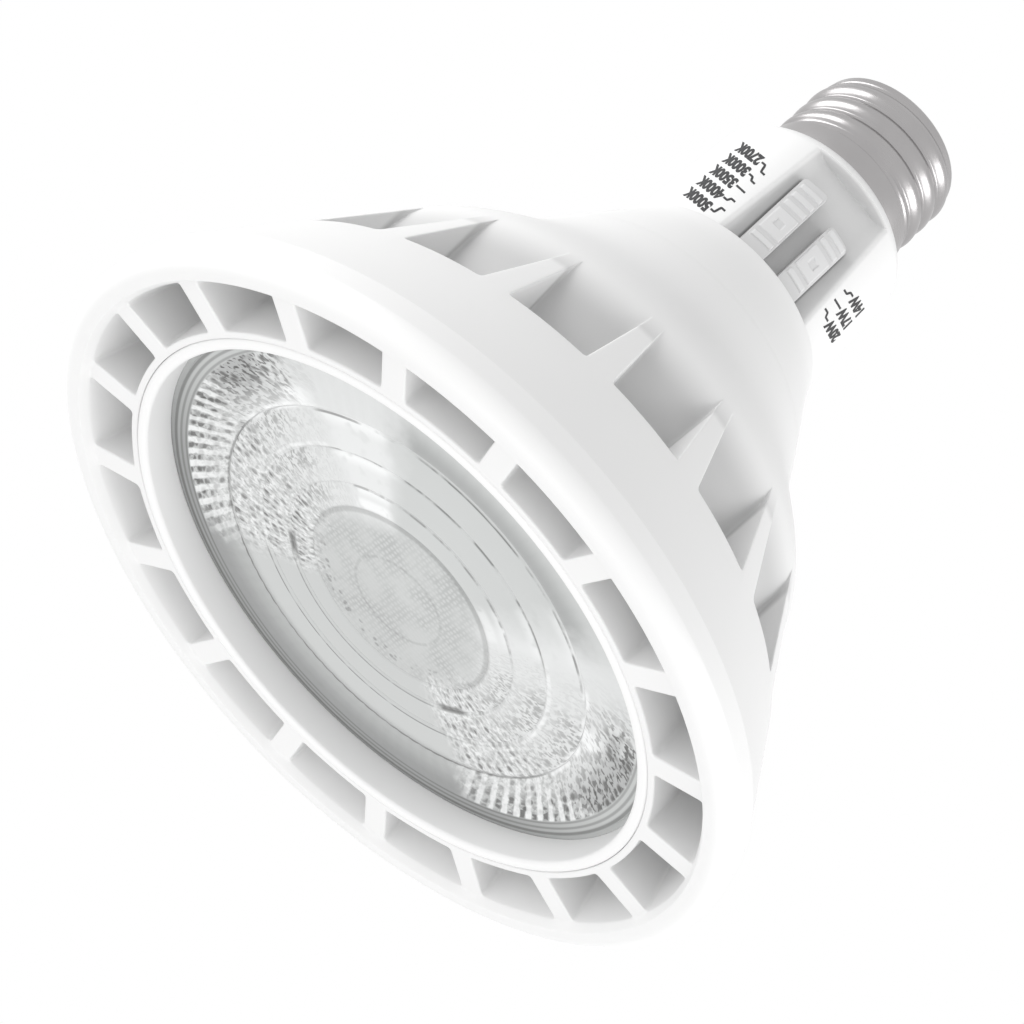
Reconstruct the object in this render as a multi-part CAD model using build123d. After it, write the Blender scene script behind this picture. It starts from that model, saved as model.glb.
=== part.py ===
from build123d import *
from math import atan, degrees, hypot
import os

# LED reflector lamp with a vented housing, two selector sliders in the neck and a medium screw base.
# Millimetres. The lamp stands on its head: the front rim lies on z = 0 and the axis runs up +Z
# to the screw base.
# The selector recess in the neck faces -Y, half-way between two ribs of the housing.

# Front rim and vented band of the housing
rim_radius = 60.3
rim_roll = 2.8
rim_overhang = 1.29
rim_face = 4.1
rim_width = 5.0
window_width = 8.1
band_height = 21.6
band_taper = 0.5367
band_edge_wall = 1.9
spoke_setback = 1.2

# Radial ribs that carry the band
rib_count = 18
spoke_width = 4.0
rib_width = 4.8
rib_tip_width = 2.3
rib_length = 17.7
rib_root_depth = 1.0

# Cup and bell of the housing
cup_wall = 2.3
cup_rim_wall = 1.1
cup_straight = 10.0
cup_taper = 4.0
bell_length = 36.2
bell_shoulder_drop = 3.1
bell_shoulder_rise = 4.7
bell_sag = 1.25
bell_crown_step = 6.8
bell_crown_depth = 13.5
bell_top_step = 3.6
bell_top_depth = 7.5
lip_radius = 19.2
lip_wall = 1.7
lip_depth = 5.0

# Lens, its seal and the bezel ring that holds it
bezel_width = 1.65
bezel_front = 1.0
bezel_roll = 0.8
bezel_depth = 5.4
bore_clearance = 0.25
lens_clearance = 0.6
lens_step = 0.8
lens_step_rise = 0.3
lens_edge_width = 2.7
lens_flange_thickness = 1.6
lens_dome = 1.8
lens_web = 2.6
lens_ring_widths = [8.5, 6.5, 5.6, 4.2]
lens_prism_depth = 5.2
lens_core_depth = 4.0
gasket_thickness = 0.6
gasket_clearance = 0.4
ledge_width = 2.5

# Heat sink and the light source on it
sink_seat_wall = 2.7
sink_clearance = 0.3
sink_rise = 6.4
sink_depth = 13.5
sink_plate = 2.0
sink_wall = 1.6
sink_ledge = 2.6
sink_boss_radius = 3.2
sink_boss_depth = 18.0
screw_count = 3
screw_angle = 30
sink_screw_radius = 1.45
led_board_radius = 20.0
led_board_thickness = 1.6
led_board_screw_inset = 3.4
led_board_screw_radius = 1.25
screw_head_ratio = 1.9
screw_head_height = 1.5
sink_screw_length = 7.0
led_board_screw_length = 3.5
screw_clearance = 0.2
led_size = 2.8
led_height = 0.8
led_pitch = 3.6
led_zone_inset = 4.8
wire_hole_offset = 7.0
wire_hole_radius = 3.0

# Screw base, of the medium size
thread_pitch = 3.63
thread_crest = 13.2
thread_depth = 0.65
ridge_share = 0.84
skirt_step = 0.1
skirt_length = 3.6
shell_length = 18.4
shell_turn = 1.6
shell_end_step = 1.35
shell_wall = 0.3
shell_sheet = 0.35
shell_clearance = 0.05
insulator_height = 3.4
insulator_depth = 2.6
insulator_rim = 0.35
insulator_radius = 5.3
insulator_clearance = 0.1
contact_inset = 0.5
contact_rim = 0.7
contact_dome = 1.5
rivet_radius = 1.0

# Neck housing
neck_step = 0.7
neck_taper = 0.8
neck_length = 23.1
neck_shoulder = 4.8
neck_wall = 2.3
neck_crown = 1.8
collar_step = 0.3
plug_clearance = 0.2
plug_reach = 4.5
hook_reach = 1.1
hook_height = 2.0
hook_width = 7.0
hook_clearance = 0.15
hook_angles = [25, 90, 155]
spigot_wall = 1.8
spigot_height = 10.6
wall_bite = 0.4

# Selector recess, sliders and their switches
recess_depth = 3.3
recess_floor_wall = 1.6
recess_rise = 0.3
recess_side_clearance = 0.3
recess_end_clearance = 0.5
recess_flare = 1.4
recess_wall_slope = 1.9
slider_spacing = 3.2
slider_width = 4.5
slider_lip_clearance = 0.3
slider_gap = 0.3
slider_corner = 0.9
ridge_height = 0.3
ridge_inset = 0.3
ridge_width = 1.3
ridge_gap = 0.7
grip_length = 5.3
colour_ridges = (1, 3)
power_ridges = (1, 2)
pointer_size = 1.6
pointer_depth = 0.15
position_pitch = 2.5
colour_positions = 5
power_positions = 3
colour_pad_length = 19.8
power_pad_length = 14.2
stem_width = 2.0
stem_length = 4.0
knob_width = 1.8
knob_length = 1.9
knob_reach = 1.0
knob_clearance = 0.1
slot_clearance = 0.35
switch_side_wall = 1.3
switch_height = 3.5
switch_end = 3.0
switch_gap = 0.3
switch_slot_depth = 1.3
switch_board_margin = 2.0
switch_board_thickness = 1.2
switch_post_space = 3.95
switch_post_radius = 1.7
switch_screw_radius = 0.9
switch_screw_length = 4.4
pin_size = 0.6
pin_count = 4
pin_pitch = 2.5
pin_drop = 5.9

# Driver board and the parts on it
board_face = 2.6
board_thickness = 1.6
board_side_gap = 0.8
board_length = 51.6
board_head_room = 1.2
rail_reach = 2.2
rail_thickness = 1.4
rail_clearance = 0.1
rail_foot = 1.0
component_gap = 3.0
transformer_foot = 6.0
core_width = 18.0
core_length = 16.0
core_depth = 5.0
core_leg = 2.6
coil_side_gap = 0.2
coil_wall = 3.3
coil_end_gap = 3.0
coil_clearance = 0.1
coil_edge = 1.5
capacitor_radius = 5.0
capacitor_length = 18.0
capacitor_offset = 6.4
film_size = (6.0, 8.0, 10.0)
film_edge = 0.5
film_offset = 5.2
choke_radius = 4.0
choke_height = 8.0
choke_winding = 0.8
choke_offset = 5.6
fuse_radius = 1.7
fuse_length = 9.0
fuse_gap = 0.7
varistor_radius = 3.5
varistor_thickness = 3.2
varistor_edge = 0.8
varistor_offset = 5.0
rectifier_size = (5.0, 2.4, 6.0)
rectifier_offset = 6.0
rectifier_rise = 39.0
chip_size = (4.0, 1.6, 5.0)
chip_places = [(0.0, 12.0), (-8.0, 20.0), (7.0, 22.0)]
wire_radius = 0.65
wire_bend = 6.0
wire_tight_bend = 2.4
lead_overlap = 4.0
lead_rise = 8.0
lead_slack = 5.0
live_offset = 2.0
neutral_offset = 5.0

# Places along the axis, each from the one before it
rib_tip_height = band_height + rib_length
lip_height = rib_tip_height + bell_length
lip_bottom = lip_height - lip_depth
plug_bottom = lip_bottom - plug_reach
neck_top = lip_height + neck_length
neck_bore_top = neck_top - neck_crown
neck_end = neck_top + neck_shoulder
spigot_top = neck_end + spigot_height
skirt_top = neck_end + skirt_length
shell_end = neck_end + shell_length
insulator_top = shell_end + insulator_height
contact_top = insulator_top + contact_rim + contact_dome
lens_seat = bezel_front + bezel_depth
lens_back = lens_seat + lens_flange_thickness
lens_optic_edge = lens_seat - lens_step_rise
ledge_height = lens_back + gasket_thickness
sink_back = band_height + sink_rise
sink_front = sink_back - sink_depth
sink_face = sink_back - sink_plate
led_board_face = sink_face - led_board_thickness

# Radii, from the rim inwards and from the base outwards
window_outer_radius = rim_radius - rim_width
window_inner_radius = window_outer_radius - window_width
cup_waist_radius = window_inner_radius - cup_taper
band_radius = rim_radius + rim_overhang - band_taper * (band_height - rim_roll)
rib_tip_radius = band_radius - band_taper * rib_length
ring_bore = window_inner_radius - cup_rim_wall
bezel_radius = ring_bore - bore_clearance
bezel_bore = bezel_radius - bezel_width
lens_flange_radius = ring_bore - lens_clearance
lens_flange_bore = bezel_bore - lens_step
lens_optic_radius = lens_flange_bore - lens_edge_width
ledge_bore = lens_flange_radius - ledge_width
sink_bore = cup_waist_radius - sink_seat_wall
sink_radius = sink_bore - sink_clearance
sink_boss_circle = sink_radius - sink_wall - sink_boss_radius
led_board_screw_circle = led_board_radius - led_board_screw_inset
led_zone_radius = led_board_screw_circle - led_zone_inset
wire_hole_place = led_board_radius + wire_hole_offset
lip_bore = lip_radius - lip_wall
plug_radius = lip_bore - plug_clearance
neck_radius = lip_radius - neck_step
neck_top_radius = neck_radius - neck_taper
neck_bore = neck_top_radius - neck_wall
thread_root = thread_crest - thread_depth
skirt_radius = thread_crest + skirt_step
shell_bore = thread_root - shell_wall
spigot_radius = shell_bore - shell_clearance
shell_end_radius = thread_root - shell_end_step
neck_end_radius = skirt_radius + collar_step
contact_radius = insulator_radius - contact_inset

# Selector and driver places
recess_floor = neck_top_radius - recess_depth
floor_back = recess_floor_wall - recess_floor
recess_top = neck_top + recess_rise
slider_offset = (slider_width + slider_spacing) / 2
slider_radius = lip_bore - slider_lip_clearance - ridge_height
colour_travel = (colour_positions - 1) * position_pitch
power_travel = (power_positions - 1) * position_pitch
slider_centre = recess_top - recess_end_clearance - (colour_travel + colour_pad_length) / 2
recess_half_width = slider_offset + slider_width / 2 + recess_side_clearance
switch_front = recess_floor - recess_floor_wall - switch_gap
switch_back = switch_front - switch_height
switch_board_back = switch_back - switch_board_thickness
switch_half_width = knob_width / 2 + switch_side_wall
switch_post_reach = colour_travel / 2 + switch_end + switch_post_space
switch_post_heights = [slider_centre - switch_post_reach, slider_centre + switch_post_reach]
switch_board_half_width = slider_offset + switch_half_width + switch_board_margin
switch_board_half_length = switch_post_reach + switch_board_margin
pin_height = slider_centre - pin_drop
board_back = board_face - board_thickness
board_half_width = neck_bore - board_side_gap
board_high = neck_bore_top - board_head_room
board_low = board_high - board_length
rail_low = plug_bottom + rail_foot
transformer_height = board_low + transformer_foot + core_length / 2
component_base = transformer_height + core_length / 2 + component_gap
coil_half_width = core_width / 2 - core_leg - coil_side_gap
coil_half_depth = core_depth / 2 + coil_wall
coil_half_length = core_length / 2 - coil_end_gap


def ring_of(points):
    """Turn a closed outline of (radius, height) points about the lamp's axis."""
    return revolve(make_face(Plane.XZ * Polyline(*points, close=True)), Axis.Z)


def disc(radius, low, high):
    """Solid cylinder on the lamp's axis between two heights."""
    return Pos(0, 0, (low + high) / 2) * Cylinder(radius, high - low)


def block(x_span, y_span, z_span):
    """Box between the given limits along each axis."""
    size = [span[1] - span[0] for span in (x_span, y_span, z_span)]
    centre = [(span[0] + span[1]) / 2 for span in (x_span, y_span, z_span)]
    return Pos(*centre) * Box(*size)


def around(angle, solid):
    """Turn a solid about the lamp's axis."""
    return Rot(0, 0, angle) * solid


def on_screw_circle(circle, solid):
    """Copies of a solid at the places of the screws on a circle of the given radius."""
    return [around(screw_angle + 360 * k / screw_count, Pos(circle, 0) * solid) for k in range(screw_count)]


def dome_arc(radius, edge, crown):
    """Arc of a sphere centred on the axis, from its edge circle to its crown, in (radius, height)."""
    rise = crown - edge
    ball = (radius ** 2 + rise ** 2) / (2 * abs(rise))
    up = 1 if rise > 0 else -1
    sweep_angle = degrees(atan(radius / (ball - abs(rise))))
    return CenterArc((0, crown - up * ball), ball, up * 90, -up * sweep_angle)


def bell_curve():
    """Outer line of the cup and bell from its waist to the lip, in (radius, height)."""
    shoulder = (rib_tip_radius - bell_shoulder_drop, rib_tip_height + bell_shoulder_rise)
    crown = (lip_radius + bell_crown_step, lip_height - bell_crown_depth)
    waist = ((shoulder[0] + crown[0]) / 2 - bell_sag, (shoulder[1] + crown[1]) / 2)
    points = [
        (cup_waist_radius, band_height),
        (rib_tip_radius, rib_tip_height),
        shoulder,
        waist,
        crown,
        (lip_radius + bell_top_step, lip_height - bell_top_depth),
        (lip_radius, lip_height),
    ]
    return Spline(*points, tangents=[(-0.05, 1), (-0.3, 1)])


def inset_curve(curve, wall, low, top, steps=20):
    """Points at one wall thickness inside a curve, above one height and ended exactly at another."""
    line = []
    for step in range(steps + 1):
        place = curve @ (step / steps)
        along = curve % (step / steps)
        line.append((place.X - wall * along.Y, place.Y + wall * along.X))
    inside = [point for point in line if low < point[1] < top]
    before = inside[-1]
    after = [point for point in line if point[1] >= top][0]
    share = (top - before[1]) / (after[1] - before[1])
    return inside[:-1] + [(before[0] + share * (after[0] - before[0]), top)]


def cup_solid():
    """Cup and bell as one filled body of revolution."""
    outer = bell_curve()
    front = Polyline(
        (0, spoke_setback),
        (window_inner_radius, spoke_setback),
        (window_inner_radius, cup_straight),
        (cup_waist_radius, band_height),
    )
    close = Polyline((lip_radius, lip_height), (0, lip_height), (0, spoke_setback))
    return revolve(make_face(Plane.XZ * (Curve() + [front, outer, close])), Axis.Z)


def cup_cavity():
    """Space inside the cup: lens bore, ledge, heat-sink seat, bell and lip bore."""
    seat_bore = sink_bore - sink_ledge
    seat_top = sink_back + cup_wall
    inner = inset_curve(bell_curve(), cup_wall, seat_top, lip_bottom)
    front = Polyline(
        (0, 0),
        (ring_bore, 0),
        (ring_bore, ledge_height),
        (ledge_bore, ledge_height),
        (ledge_bore, cup_straight),
        (sink_bore, band_height),
        (sink_bore, sink_back),
        (seat_bore, sink_back),
        (seat_bore, seat_top),
        inner[0],
    )
    bell = Spline(*inner)
    close = Polyline(inner[-1], (0, lip_bottom), (0, 0))
    hollow = revolve(make_face(Plane.XZ * (Curve() + [front, bell, close])), Axis.Z)
    return hollow + disc(lip_bore, lip_bottom - 1, lip_height + 1)


def band_ring():
    """Conical outer band with its rolled rim: a tight roll in front, a wide one that runs into the cone."""
    land_outer = rim_radius - rim_roll
    back_roll = rim_overhang / (hypot(1, band_taper) - 1)
    cone_angle = degrees(atan(band_taper))
    front_arc = CenterArc((land_outer, rim_roll), rim_roll, -90, 90)
    back_arc = CenterArc((rim_radius - back_roll, rim_roll), back_roll, 0, cone_angle)
    outline = Polyline(
        back_arc @ 1,
        (band_radius, band_height),
        (band_radius - band_edge_wall, band_height),
        (window_outer_radius, spoke_setback),
        (rim_radius - rim_face, 0),
        (land_outer, 0),
    )
    return revolve(make_face(Plane.XZ * (Curve() + [front_arc, back_arc, outline])), Axis.Z)


def rib():
    """One radial rib on +X: a spoke in front, a tapering fin behind, trimmed to the band's cone."""
    front = spoke_setback
    side = [(spoke_width / 2, front), (rib_width / 2, band_height), (rib_tip_width / 2, rib_tip_height)]
    outline = side + [(-width, height) for width, height in reversed(side)]
    blade = extrude(make_face(Plane.YZ * Polyline(*outline, close=True)), rim_radius)
    reach = band_radius - band_edge_wall / 2
    envelope = ring_of([
        (window_inner_radius - rib_root_depth, front),
        (rim_radius - rim_face, front),
        (reach, band_height - band_edge_wall / 2),
        (band_radius, band_height),
        (rib_tip_radius, rib_tip_height),
        (rib_tip_radius - rib_root_depth, rib_tip_height),
        (cup_waist_radius - rib_root_depth, band_height),
        (window_inner_radius - rib_root_depth, cup_straight),
    ])
    return blade & envelope


def sink_bosses():
    """Screw bosses that stand behind the heat sink and root in the bell."""
    post = disc(sink_boss_radius, sink_back, sink_back + sink_boss_depth)
    hole = disc(sink_screw_radius + screw_clearance, sink_back, sink_back + sink_screw_length)
    return on_screw_circle(sink_boss_circle, post - hole)


def vented_housing():
    """The white moulding: cup, bell, ribs and band in one piece."""
    filled = cup_solid()
    body = filled - cup_cavity()
    step = 360 / rib_count
    one_rib = rib()
    body = body + band_ring()
    body = body + [around(-90 + step * (k + 0.5), one_rib) for k in range(rib_count)]
    return body + [post & filled for post in sink_bosses()]


def front_bezel():
    """Ring with a rounded front that clamps the lens in the housing's bore."""
    front = bezel_front + bezel_roll
    sides = Polyline(
        (bezel_bore, front),
        (bezel_bore, lens_seat),
        (bezel_radius, lens_seat),
        (bezel_radius, front),
    )
    crown = ((bezel_bore + bezel_radius) / 2, bezel_front)
    roll = ThreePointArc((bezel_radius, front), crown, (bezel_bore, front))
    return revolve(make_face(Plane.XZ * (Curve() + [sides, roll])), Axis.Z)


def lens():
    """Clear optic: flange, gently domed front and a back of prism rings round a central bulge."""
    web = lens_optic_edge + lens_web
    front = lens_optic_edge - lens_dome
    prisms = []
    edge = lens_optic_radius
    for width in lens_ring_widths:
        prisms += [(edge, web), (edge - width, web + lens_prism_depth)]
        edge -= width
    prisms += [(edge, web)]
    flange = [
        (lens_optic_radius, lens_optic_edge),
        (lens_flange_bore, lens_optic_edge),
        (lens_flange_bore, lens_seat),
        (lens_flange_radius, lens_seat),
        (lens_flange_radius, lens_back),
        (lens_optic_radius, lens_back),
    ]
    dome = dome_arc(lens_optic_radius, lens_optic_edge, front)
    back = Polyline(*flange, *prisms)
    bulge = dome_arc(edge, web, web + lens_core_depth)
    axis_line = Line((0, web + lens_core_depth), (0, front))
    return revolve(make_face(Plane.XZ * (Curve() + [dome, back, bulge, axis_line])), Axis.Z)


def lens_gasket():
    """Flat sealing ring between the lens flange and the housing's ledge."""
    outer = disc(ring_bore - gasket_clearance, lens_back, ledge_height)
    return outer - disc(ledge_bore + gasket_clearance, lens_back, ledge_height)


def heat_sink():
    """Spun aluminium dish: plate, skirt, wire hole and screw holes."""
    dish = disc(sink_radius, sink_front, sink_back) - disc(sink_radius - sink_wall, sink_front, sink_face)
    dish -= Pos(0, wire_hole_place) * disc(wire_hole_radius, sink_face, sink_back)
    sink_hole = disc(sink_screw_radius + screw_clearance, sink_face, sink_back)
    board_hole = disc(led_board_screw_radius + screw_clearance, sink_face, sink_back)
    dish -= on_screw_circle(sink_boss_circle, sink_hole)
    return dish - on_screw_circle(led_board_screw_circle, board_hole)


def screw(radius, length):
    """Pan-head screw standing on z = 0 with its head below and its shank up +Z."""
    reach = radius * screw_head_ratio
    head = disc(reach, -screw_head_height, 0)
    slot = block((-reach, reach), (-radius / 4, radius / 4), (-screw_head_height, -screw_head_height / 2))
    return head + disc(radius, 0, length) - slot


def heat_sink_screws():
    """Screws that hold the heat sink to the bosses, heads in front."""
    one = screw(sink_screw_radius, sink_screw_length)
    return on_screw_circle(sink_boss_circle, Pos(0, 0, sink_face) * one)


def led_board_screws():
    """Screws that hold the round board to the heat sink, heads in front."""
    one = screw(led_board_screw_radius, led_board_screw_length)
    return on_screw_circle(led_board_screw_circle, Pos(0, 0, led_board_face) * one)


def led_board():
    """Round metal-core board with its screw holes."""
    board = disc(led_board_radius, led_board_face, sink_face)
    hole = disc(led_board_screw_radius + screw_clearance, led_board_face, sink_face)
    return board - on_screw_circle(led_board_screw_circle, hole)


def led_packages():
    """Square light-emitting packages in a grid that fills the round zone in front of the board."""
    rows = int(led_zone_radius / led_pitch)
    package = Pos(0, 0, led_board_face - led_height / 2) * Box(led_size, led_size, led_height)
    steps = [led_pitch * k for k in range(-rows, rows + 1)]
    return [Pos(x, y) * package for x in steps for y in steps if hypot(x, y) <= led_zone_radius]


def recess_tool():
    """Tapering trough that is cut into the neck for the sliders."""
    outer = lip_radius
    spread = (outer - recess_floor) * recess_wall_slope

    def section(half_width, height):
        corners = [
            (-half_width, -recess_floor),
            (half_width, -recess_floor),
            (half_width + spread, -outer),
            (-half_width - spread, -outer),
        ]
        return Pos(0, 0, height) * make_face(Polyline(*corners, close=True))

    low = section(recess_half_width + recess_flare, plug_bottom)
    high = section(recess_half_width, recess_top)
    return loft([low, high])


def slider_slot(side, travel):
    """Slot through the recess floor for a slider's stem."""
    half = (travel + stem_length) / 2 + slot_clearance
    width = stem_width / 2 + slot_clearance
    centre = side * slider_offset
    return block(
        (centre - width, centre + width),
        (-neck_radius, floor_back + recess_floor_wall),
        (slider_centre - half, slider_centre + half),
    )


def neck_shape():
    """Outside of the neck as a filled body: plug, taper, rounded shoulder and spigot."""
    outside = Polyline(
        (0, plug_bottom),
        (plug_radius, plug_bottom),
        (plug_radius, lip_height),
        (neck_radius, lip_height),
        (neck_top_radius, neck_top),
    )
    top_edge = (neck_top_radius, neck_top)
    end_edge = (neck_end_radius, neck_end)
    shoulder = Spline(top_edge, end_edge, tangents=[(-0.04, 1), (-1, 0.25)])
    spigot = Polyline(
        end_edge,
        (spigot_radius, neck_end),
        (spigot_radius, spigot_top),
        (0, spigot_top),
        (0, plug_bottom),
    )
    return revolve(make_face(Plane.XZ * (Curve() + [outside, shoulder, spigot])), Axis.Z)


def neck_hollow():
    """Space inside the neck and the spigot, flat behind the recess floor."""
    bore = spigot_radius - spigot_wall
    space = ring_of([
        (0, plug_bottom),
        (neck_bore, plug_bottom),
        (neck_bore, neck_bore_top),
        (bore, neck_end),
        (bore, spigot_top),
        (0, spigot_top),
    ])
    flat = block((-neck_radius, neck_radius), (floor_back, neck_radius), (plug_bottom, spigot_top))
    return (space & flat) + disc(bore, neck_bore_top, spigot_top)


def snap_hook():
    """Hook on +X at the plug's foot that catches below the lip."""
    top = lip_bottom - hook_clearance
    root = neck_bore + wall_bite
    outline = [
        (root, top - hook_height),
        (plug_radius, top - hook_height),
        (plug_radius + hook_reach, top - hook_height / 3),
        (plug_radius + hook_reach, top),
        (root, top),
    ]
    return extrude(make_face(Plane.XZ * Polyline(*outline, close=True)), hook_width / 2, both=True)


def board_rails():
    """Two pairs of rails in the neck that hold the driver board by its long edges."""
    lower = (board_back - rail_clearance - rail_thickness, board_back - rail_clearance)
    upper = (board_face + rail_clearance, board_face + rail_clearance + rail_thickness)
    wall = disc(neck_bore + wall_bite, rail_low, neck_bore_top)
    rails = []
    for side in (-1, 1):
        reach = sorted([side * (board_half_width - rail_reach), side * neck_radius])
        rails += [block(reach, y_span, (rail_low, neck_bore_top)) & wall for y_span in (lower, upper)]
    return rails


def switch_posts():
    """Two hollow posts behind the recess floor for the switch board's screws."""
    length = -switch_back - floor_back
    post = Cylinder(switch_post_radius, length) - Cylinder(switch_screw_radius, length)
    upright = Pos(0, (floor_back - switch_back) / 2) * Rot(90, 0, 0) * post
    return [Pos(0, 0, height) * upright for height in switch_post_heights]


def neck_housing():
    """Tapered neck with its plug, snap hooks, spigot, selector recess, posts and board rails."""
    body = neck_shape() - neck_hollow() - recess_tool()
    body = body - slider_slot(-1, colour_travel) - slider_slot(1, power_travel)
    body = body + [around(angle, snap_hook()) for angle in hook_angles]
    return body + board_rails() + switch_posts()


def slider_marks(x_span, ridges):
    """Raised grip in the middle of a pad and the finger ridges below and above it."""
    y_span = (-neck_radius, -recess_floor - slider_gap - ridge_height)
    ridge_x = (x_span[0] + ridge_inset, x_span[1] - ridge_inset)
    half = grip_length / 2
    marks = [block(ridge_x, y_span, (slider_centre - half, slider_centre + half))]
    for end, count in zip((-1, 1), ridges):
        for k in range(count):
            near = half + ridge_gap + k * (ridge_width + ridge_gap)
            spans = sorted([slider_centre + end * near, slider_centre + end * (near + ridge_width)])
            marks.append(block(ridge_x, y_span, spans))
    raised = disc(slider_radius + ridge_height, 0, contact_top)
    return [mark & raised for mark in marks]


def slider_pointer(centre):
    """Shallow square recess in the grip that marks the chosen position."""
    reach = pointer_size / 2
    well = block(
        (centre - reach, centre + reach),
        (-neck_radius, 0),
        (slider_centre - reach, slider_centre + reach),
    )
    return well - disc(slider_radius + ridge_height - pointer_depth, 0, contact_top)


def slider_stem(centre):
    """Stem below a pad, forked so that it straddles the switch knob."""
    half = stem_width / 2
    stem = block(
        (centre - half, centre + half),
        (-recess_floor - slider_gap - ridge_height, -switch_front - switch_gap / 2),
        (slider_centre - stem_length / 2, slider_centre + stem_length / 2),
    )
    notch_half = (knob_length + knob_clearance) / 2
    notch = block(
        (centre - stem_width, centre + stem_width),
        (-switch_front - knob_reach - knob_clearance, 0),
        (slider_centre - notch_half, slider_centre + notch_half),
    )
    return stem - notch


def slider(side, length, ridges):
    """Ribbed pad with a curved face that follows the neck, on its forked stem."""
    centre = side * slider_offset
    x_span = (centre - slider_width / 2, centre + slider_width / 2)
    z_span = (slider_centre - length / 2, slider_centre + length / 2)
    blank = block(x_span, (-neck_radius, -recess_floor - slider_gap), z_span)
    blank = fillet(blank.edges().filter_by(Axis.Y), slider_corner)
    pad = blank & disc(slider_radius, 0, contact_top)
    return pad + slider_marks(x_span, ridges) - slider_pointer(centre) + slider_stem(centre)


def switch_knob(side):
    """Actuator of a slide switch."""
    centre = side * slider_offset
    bottom = switch_front - switch_slot_depth + knob_clearance
    return block(
        (centre - knob_width / 2, centre + knob_width / 2),
        (-switch_front - knob_reach, -bottom),
        (slider_centre - knob_length / 2, slider_centre + knob_length / 2),
    )


def switch_body(side, travel):
    """Body of a slide switch with the slot its actuator runs in."""
    centre = side * slider_offset
    half = travel / 2 + switch_end
    body = block(
        (centre - switch_half_width, centre + switch_half_width),
        (-switch_front, -switch_back),
        (slider_centre - half, slider_centre + half),
    )
    run = (travel + knob_length) / 2 + slot_clearance
    slot_half = knob_width / 2 + knob_clearance
    slot = block(
        (centre - slot_half, centre + slot_half),
        (-switch_front, -switch_front + switch_slot_depth),
        (slider_centre - run, slider_centre + run),
    )
    return body - slot


def switch_board():
    """Small board behind the recess floor that carries both switches."""
    board = block(
        (-switch_board_half_width, switch_board_half_width),
        (-switch_back, -switch_board_back),
        (slider_centre - switch_board_half_length, slider_centre + switch_board_half_length),
    )
    hole = Rot(90, 0, 0) * Cylinder(switch_screw_radius + screw_clearance, 2 * switch_board_thickness)
    middle = -(switch_back + switch_board_back) / 2
    return board - [Pos(0, middle, height) * hole for height in switch_post_heights]


def switch_board_screws():
    """Screws that hold the switch board to the posts behind the recess floor."""
    one = Rot(90, 0, 0) * screw(switch_screw_radius, switch_screw_length)
    return [Pos(0, -switch_board_back, height) * one for height in switch_post_heights]


def switch_link_pins():
    """Row of straight pins between the switch board and the driver board."""
    half = pin_size / 2
    pin = block((-half, half), (-switch_board_back, board_back), (pin_height - half, pin_height + half))
    first = -(pin_count - 1) * pin_pitch / 2
    return [Pos(first + k * pin_pitch) * pin for k in range(pin_count)]


def driver_board():
    """Upright circuit board held in the neck's rails."""
    return block((-board_half_width, board_half_width), (board_back, board_face), (board_low, board_high))


def transformer_core():
    """Ferrite core: a frame with a centre leg and two winding windows."""
    middle = board_face + coil_half_depth
    y_span = (middle - core_depth / 2, middle + core_depth / 2)
    z_span = (transformer_height - core_length / 2, transformer_height + core_length / 2)
    core = block((-core_width / 2, core_width / 2), y_span, z_span)
    half = coil_half_length + coil_clearance
    for side in (-1, 1):
        edges = sorted([side * core_leg, side * (core_width / 2 - core_leg)])
        core -= block(edges, y_span, (transformer_height - half, transformer_height + half))
    return core


def transformer_coil():
    """Winding round the core's centre leg."""
    middle = board_face + coil_half_depth
    z_span = (transformer_height - coil_half_length, transformer_height + coil_half_length)
    y_span = (board_face, board_face + 2 * coil_half_depth)
    coil = block((-coil_half_width, coil_half_width), y_span, z_span)
    coil = fillet(coil.edges().filter_by(Axis.Z), coil_edge)
    leg = core_leg + coil_clearance
    half = core_depth / 2 + coil_clearance
    return coil - block((-leg, leg), (middle - half, middle + half), z_span)


def bulk_capacitor():
    """Electrolytic can with a crimp groove near its seal, lying along the board."""
    crimp = 0.85 * capacitor_radius
    low = 0.4 * capacitor_radius
    can = ring_of([
        (0, 0),
        (capacitor_radius, 0),
        (capacitor_radius, low),
        (crimp, 1.4 * low),
        (capacitor_radius, 1.8 * low),
        (capacitor_radius, capacitor_length),
        (0, capacitor_length),
    ])
    return Pos(-capacitor_offset, board_face + capacitor_radius, component_base) * can


def film_capacitor():
    """Boxed film capacitor standing on the board, above the choke."""
    width, depth, height = film_size
    middle = component_base + 2 * choke_radius + component_gap + height / 2
    box = Pos(film_offset, board_face + depth / 2, middle) * Box(width, depth, height)
    return fillet(box.edges().filter_by(Axis.Y), film_edge)


def input_choke():
    """Drum choke standing on the board: flange, winding, flange."""
    flange = choke_height / 8
    core = choke_radius - choke_winding
    drum = ring_of([
        (0, 0),
        (choke_radius, 0),
        (choke_radius, flange),
        (core, flange),
        (core, choke_height - flange),
        (choke_radius, choke_height - flange),
        (choke_radius, choke_height),
        (0, choke_height),
    ])
    return Pos(choke_offset, board_face, component_base + choke_radius) * Rot(-90, 0, 0) * drum


def fuse_resistor():
    """Fusible resistor lying along the board, beside the film capacitor."""
    bead = fuse_radius * 0.85
    end = fuse_length / 6
    body = ring_of([
        (0, 0),
        (fuse_radius, 0),
        (fuse_radius, end),
        (bead, 1.4 * end),
        (bead, fuse_length - 1.4 * end),
        (fuse_radius, fuse_length - end),
        (fuse_radius, fuse_length),
        (0, fuse_length),
    ])
    x = film_offset + film_size[0] / 2 + fuse_gap + fuse_radius
    low = component_base + 2 * choke_radius + component_gap
    return Pos(x, board_face + fuse_radius, low) * body


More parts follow.
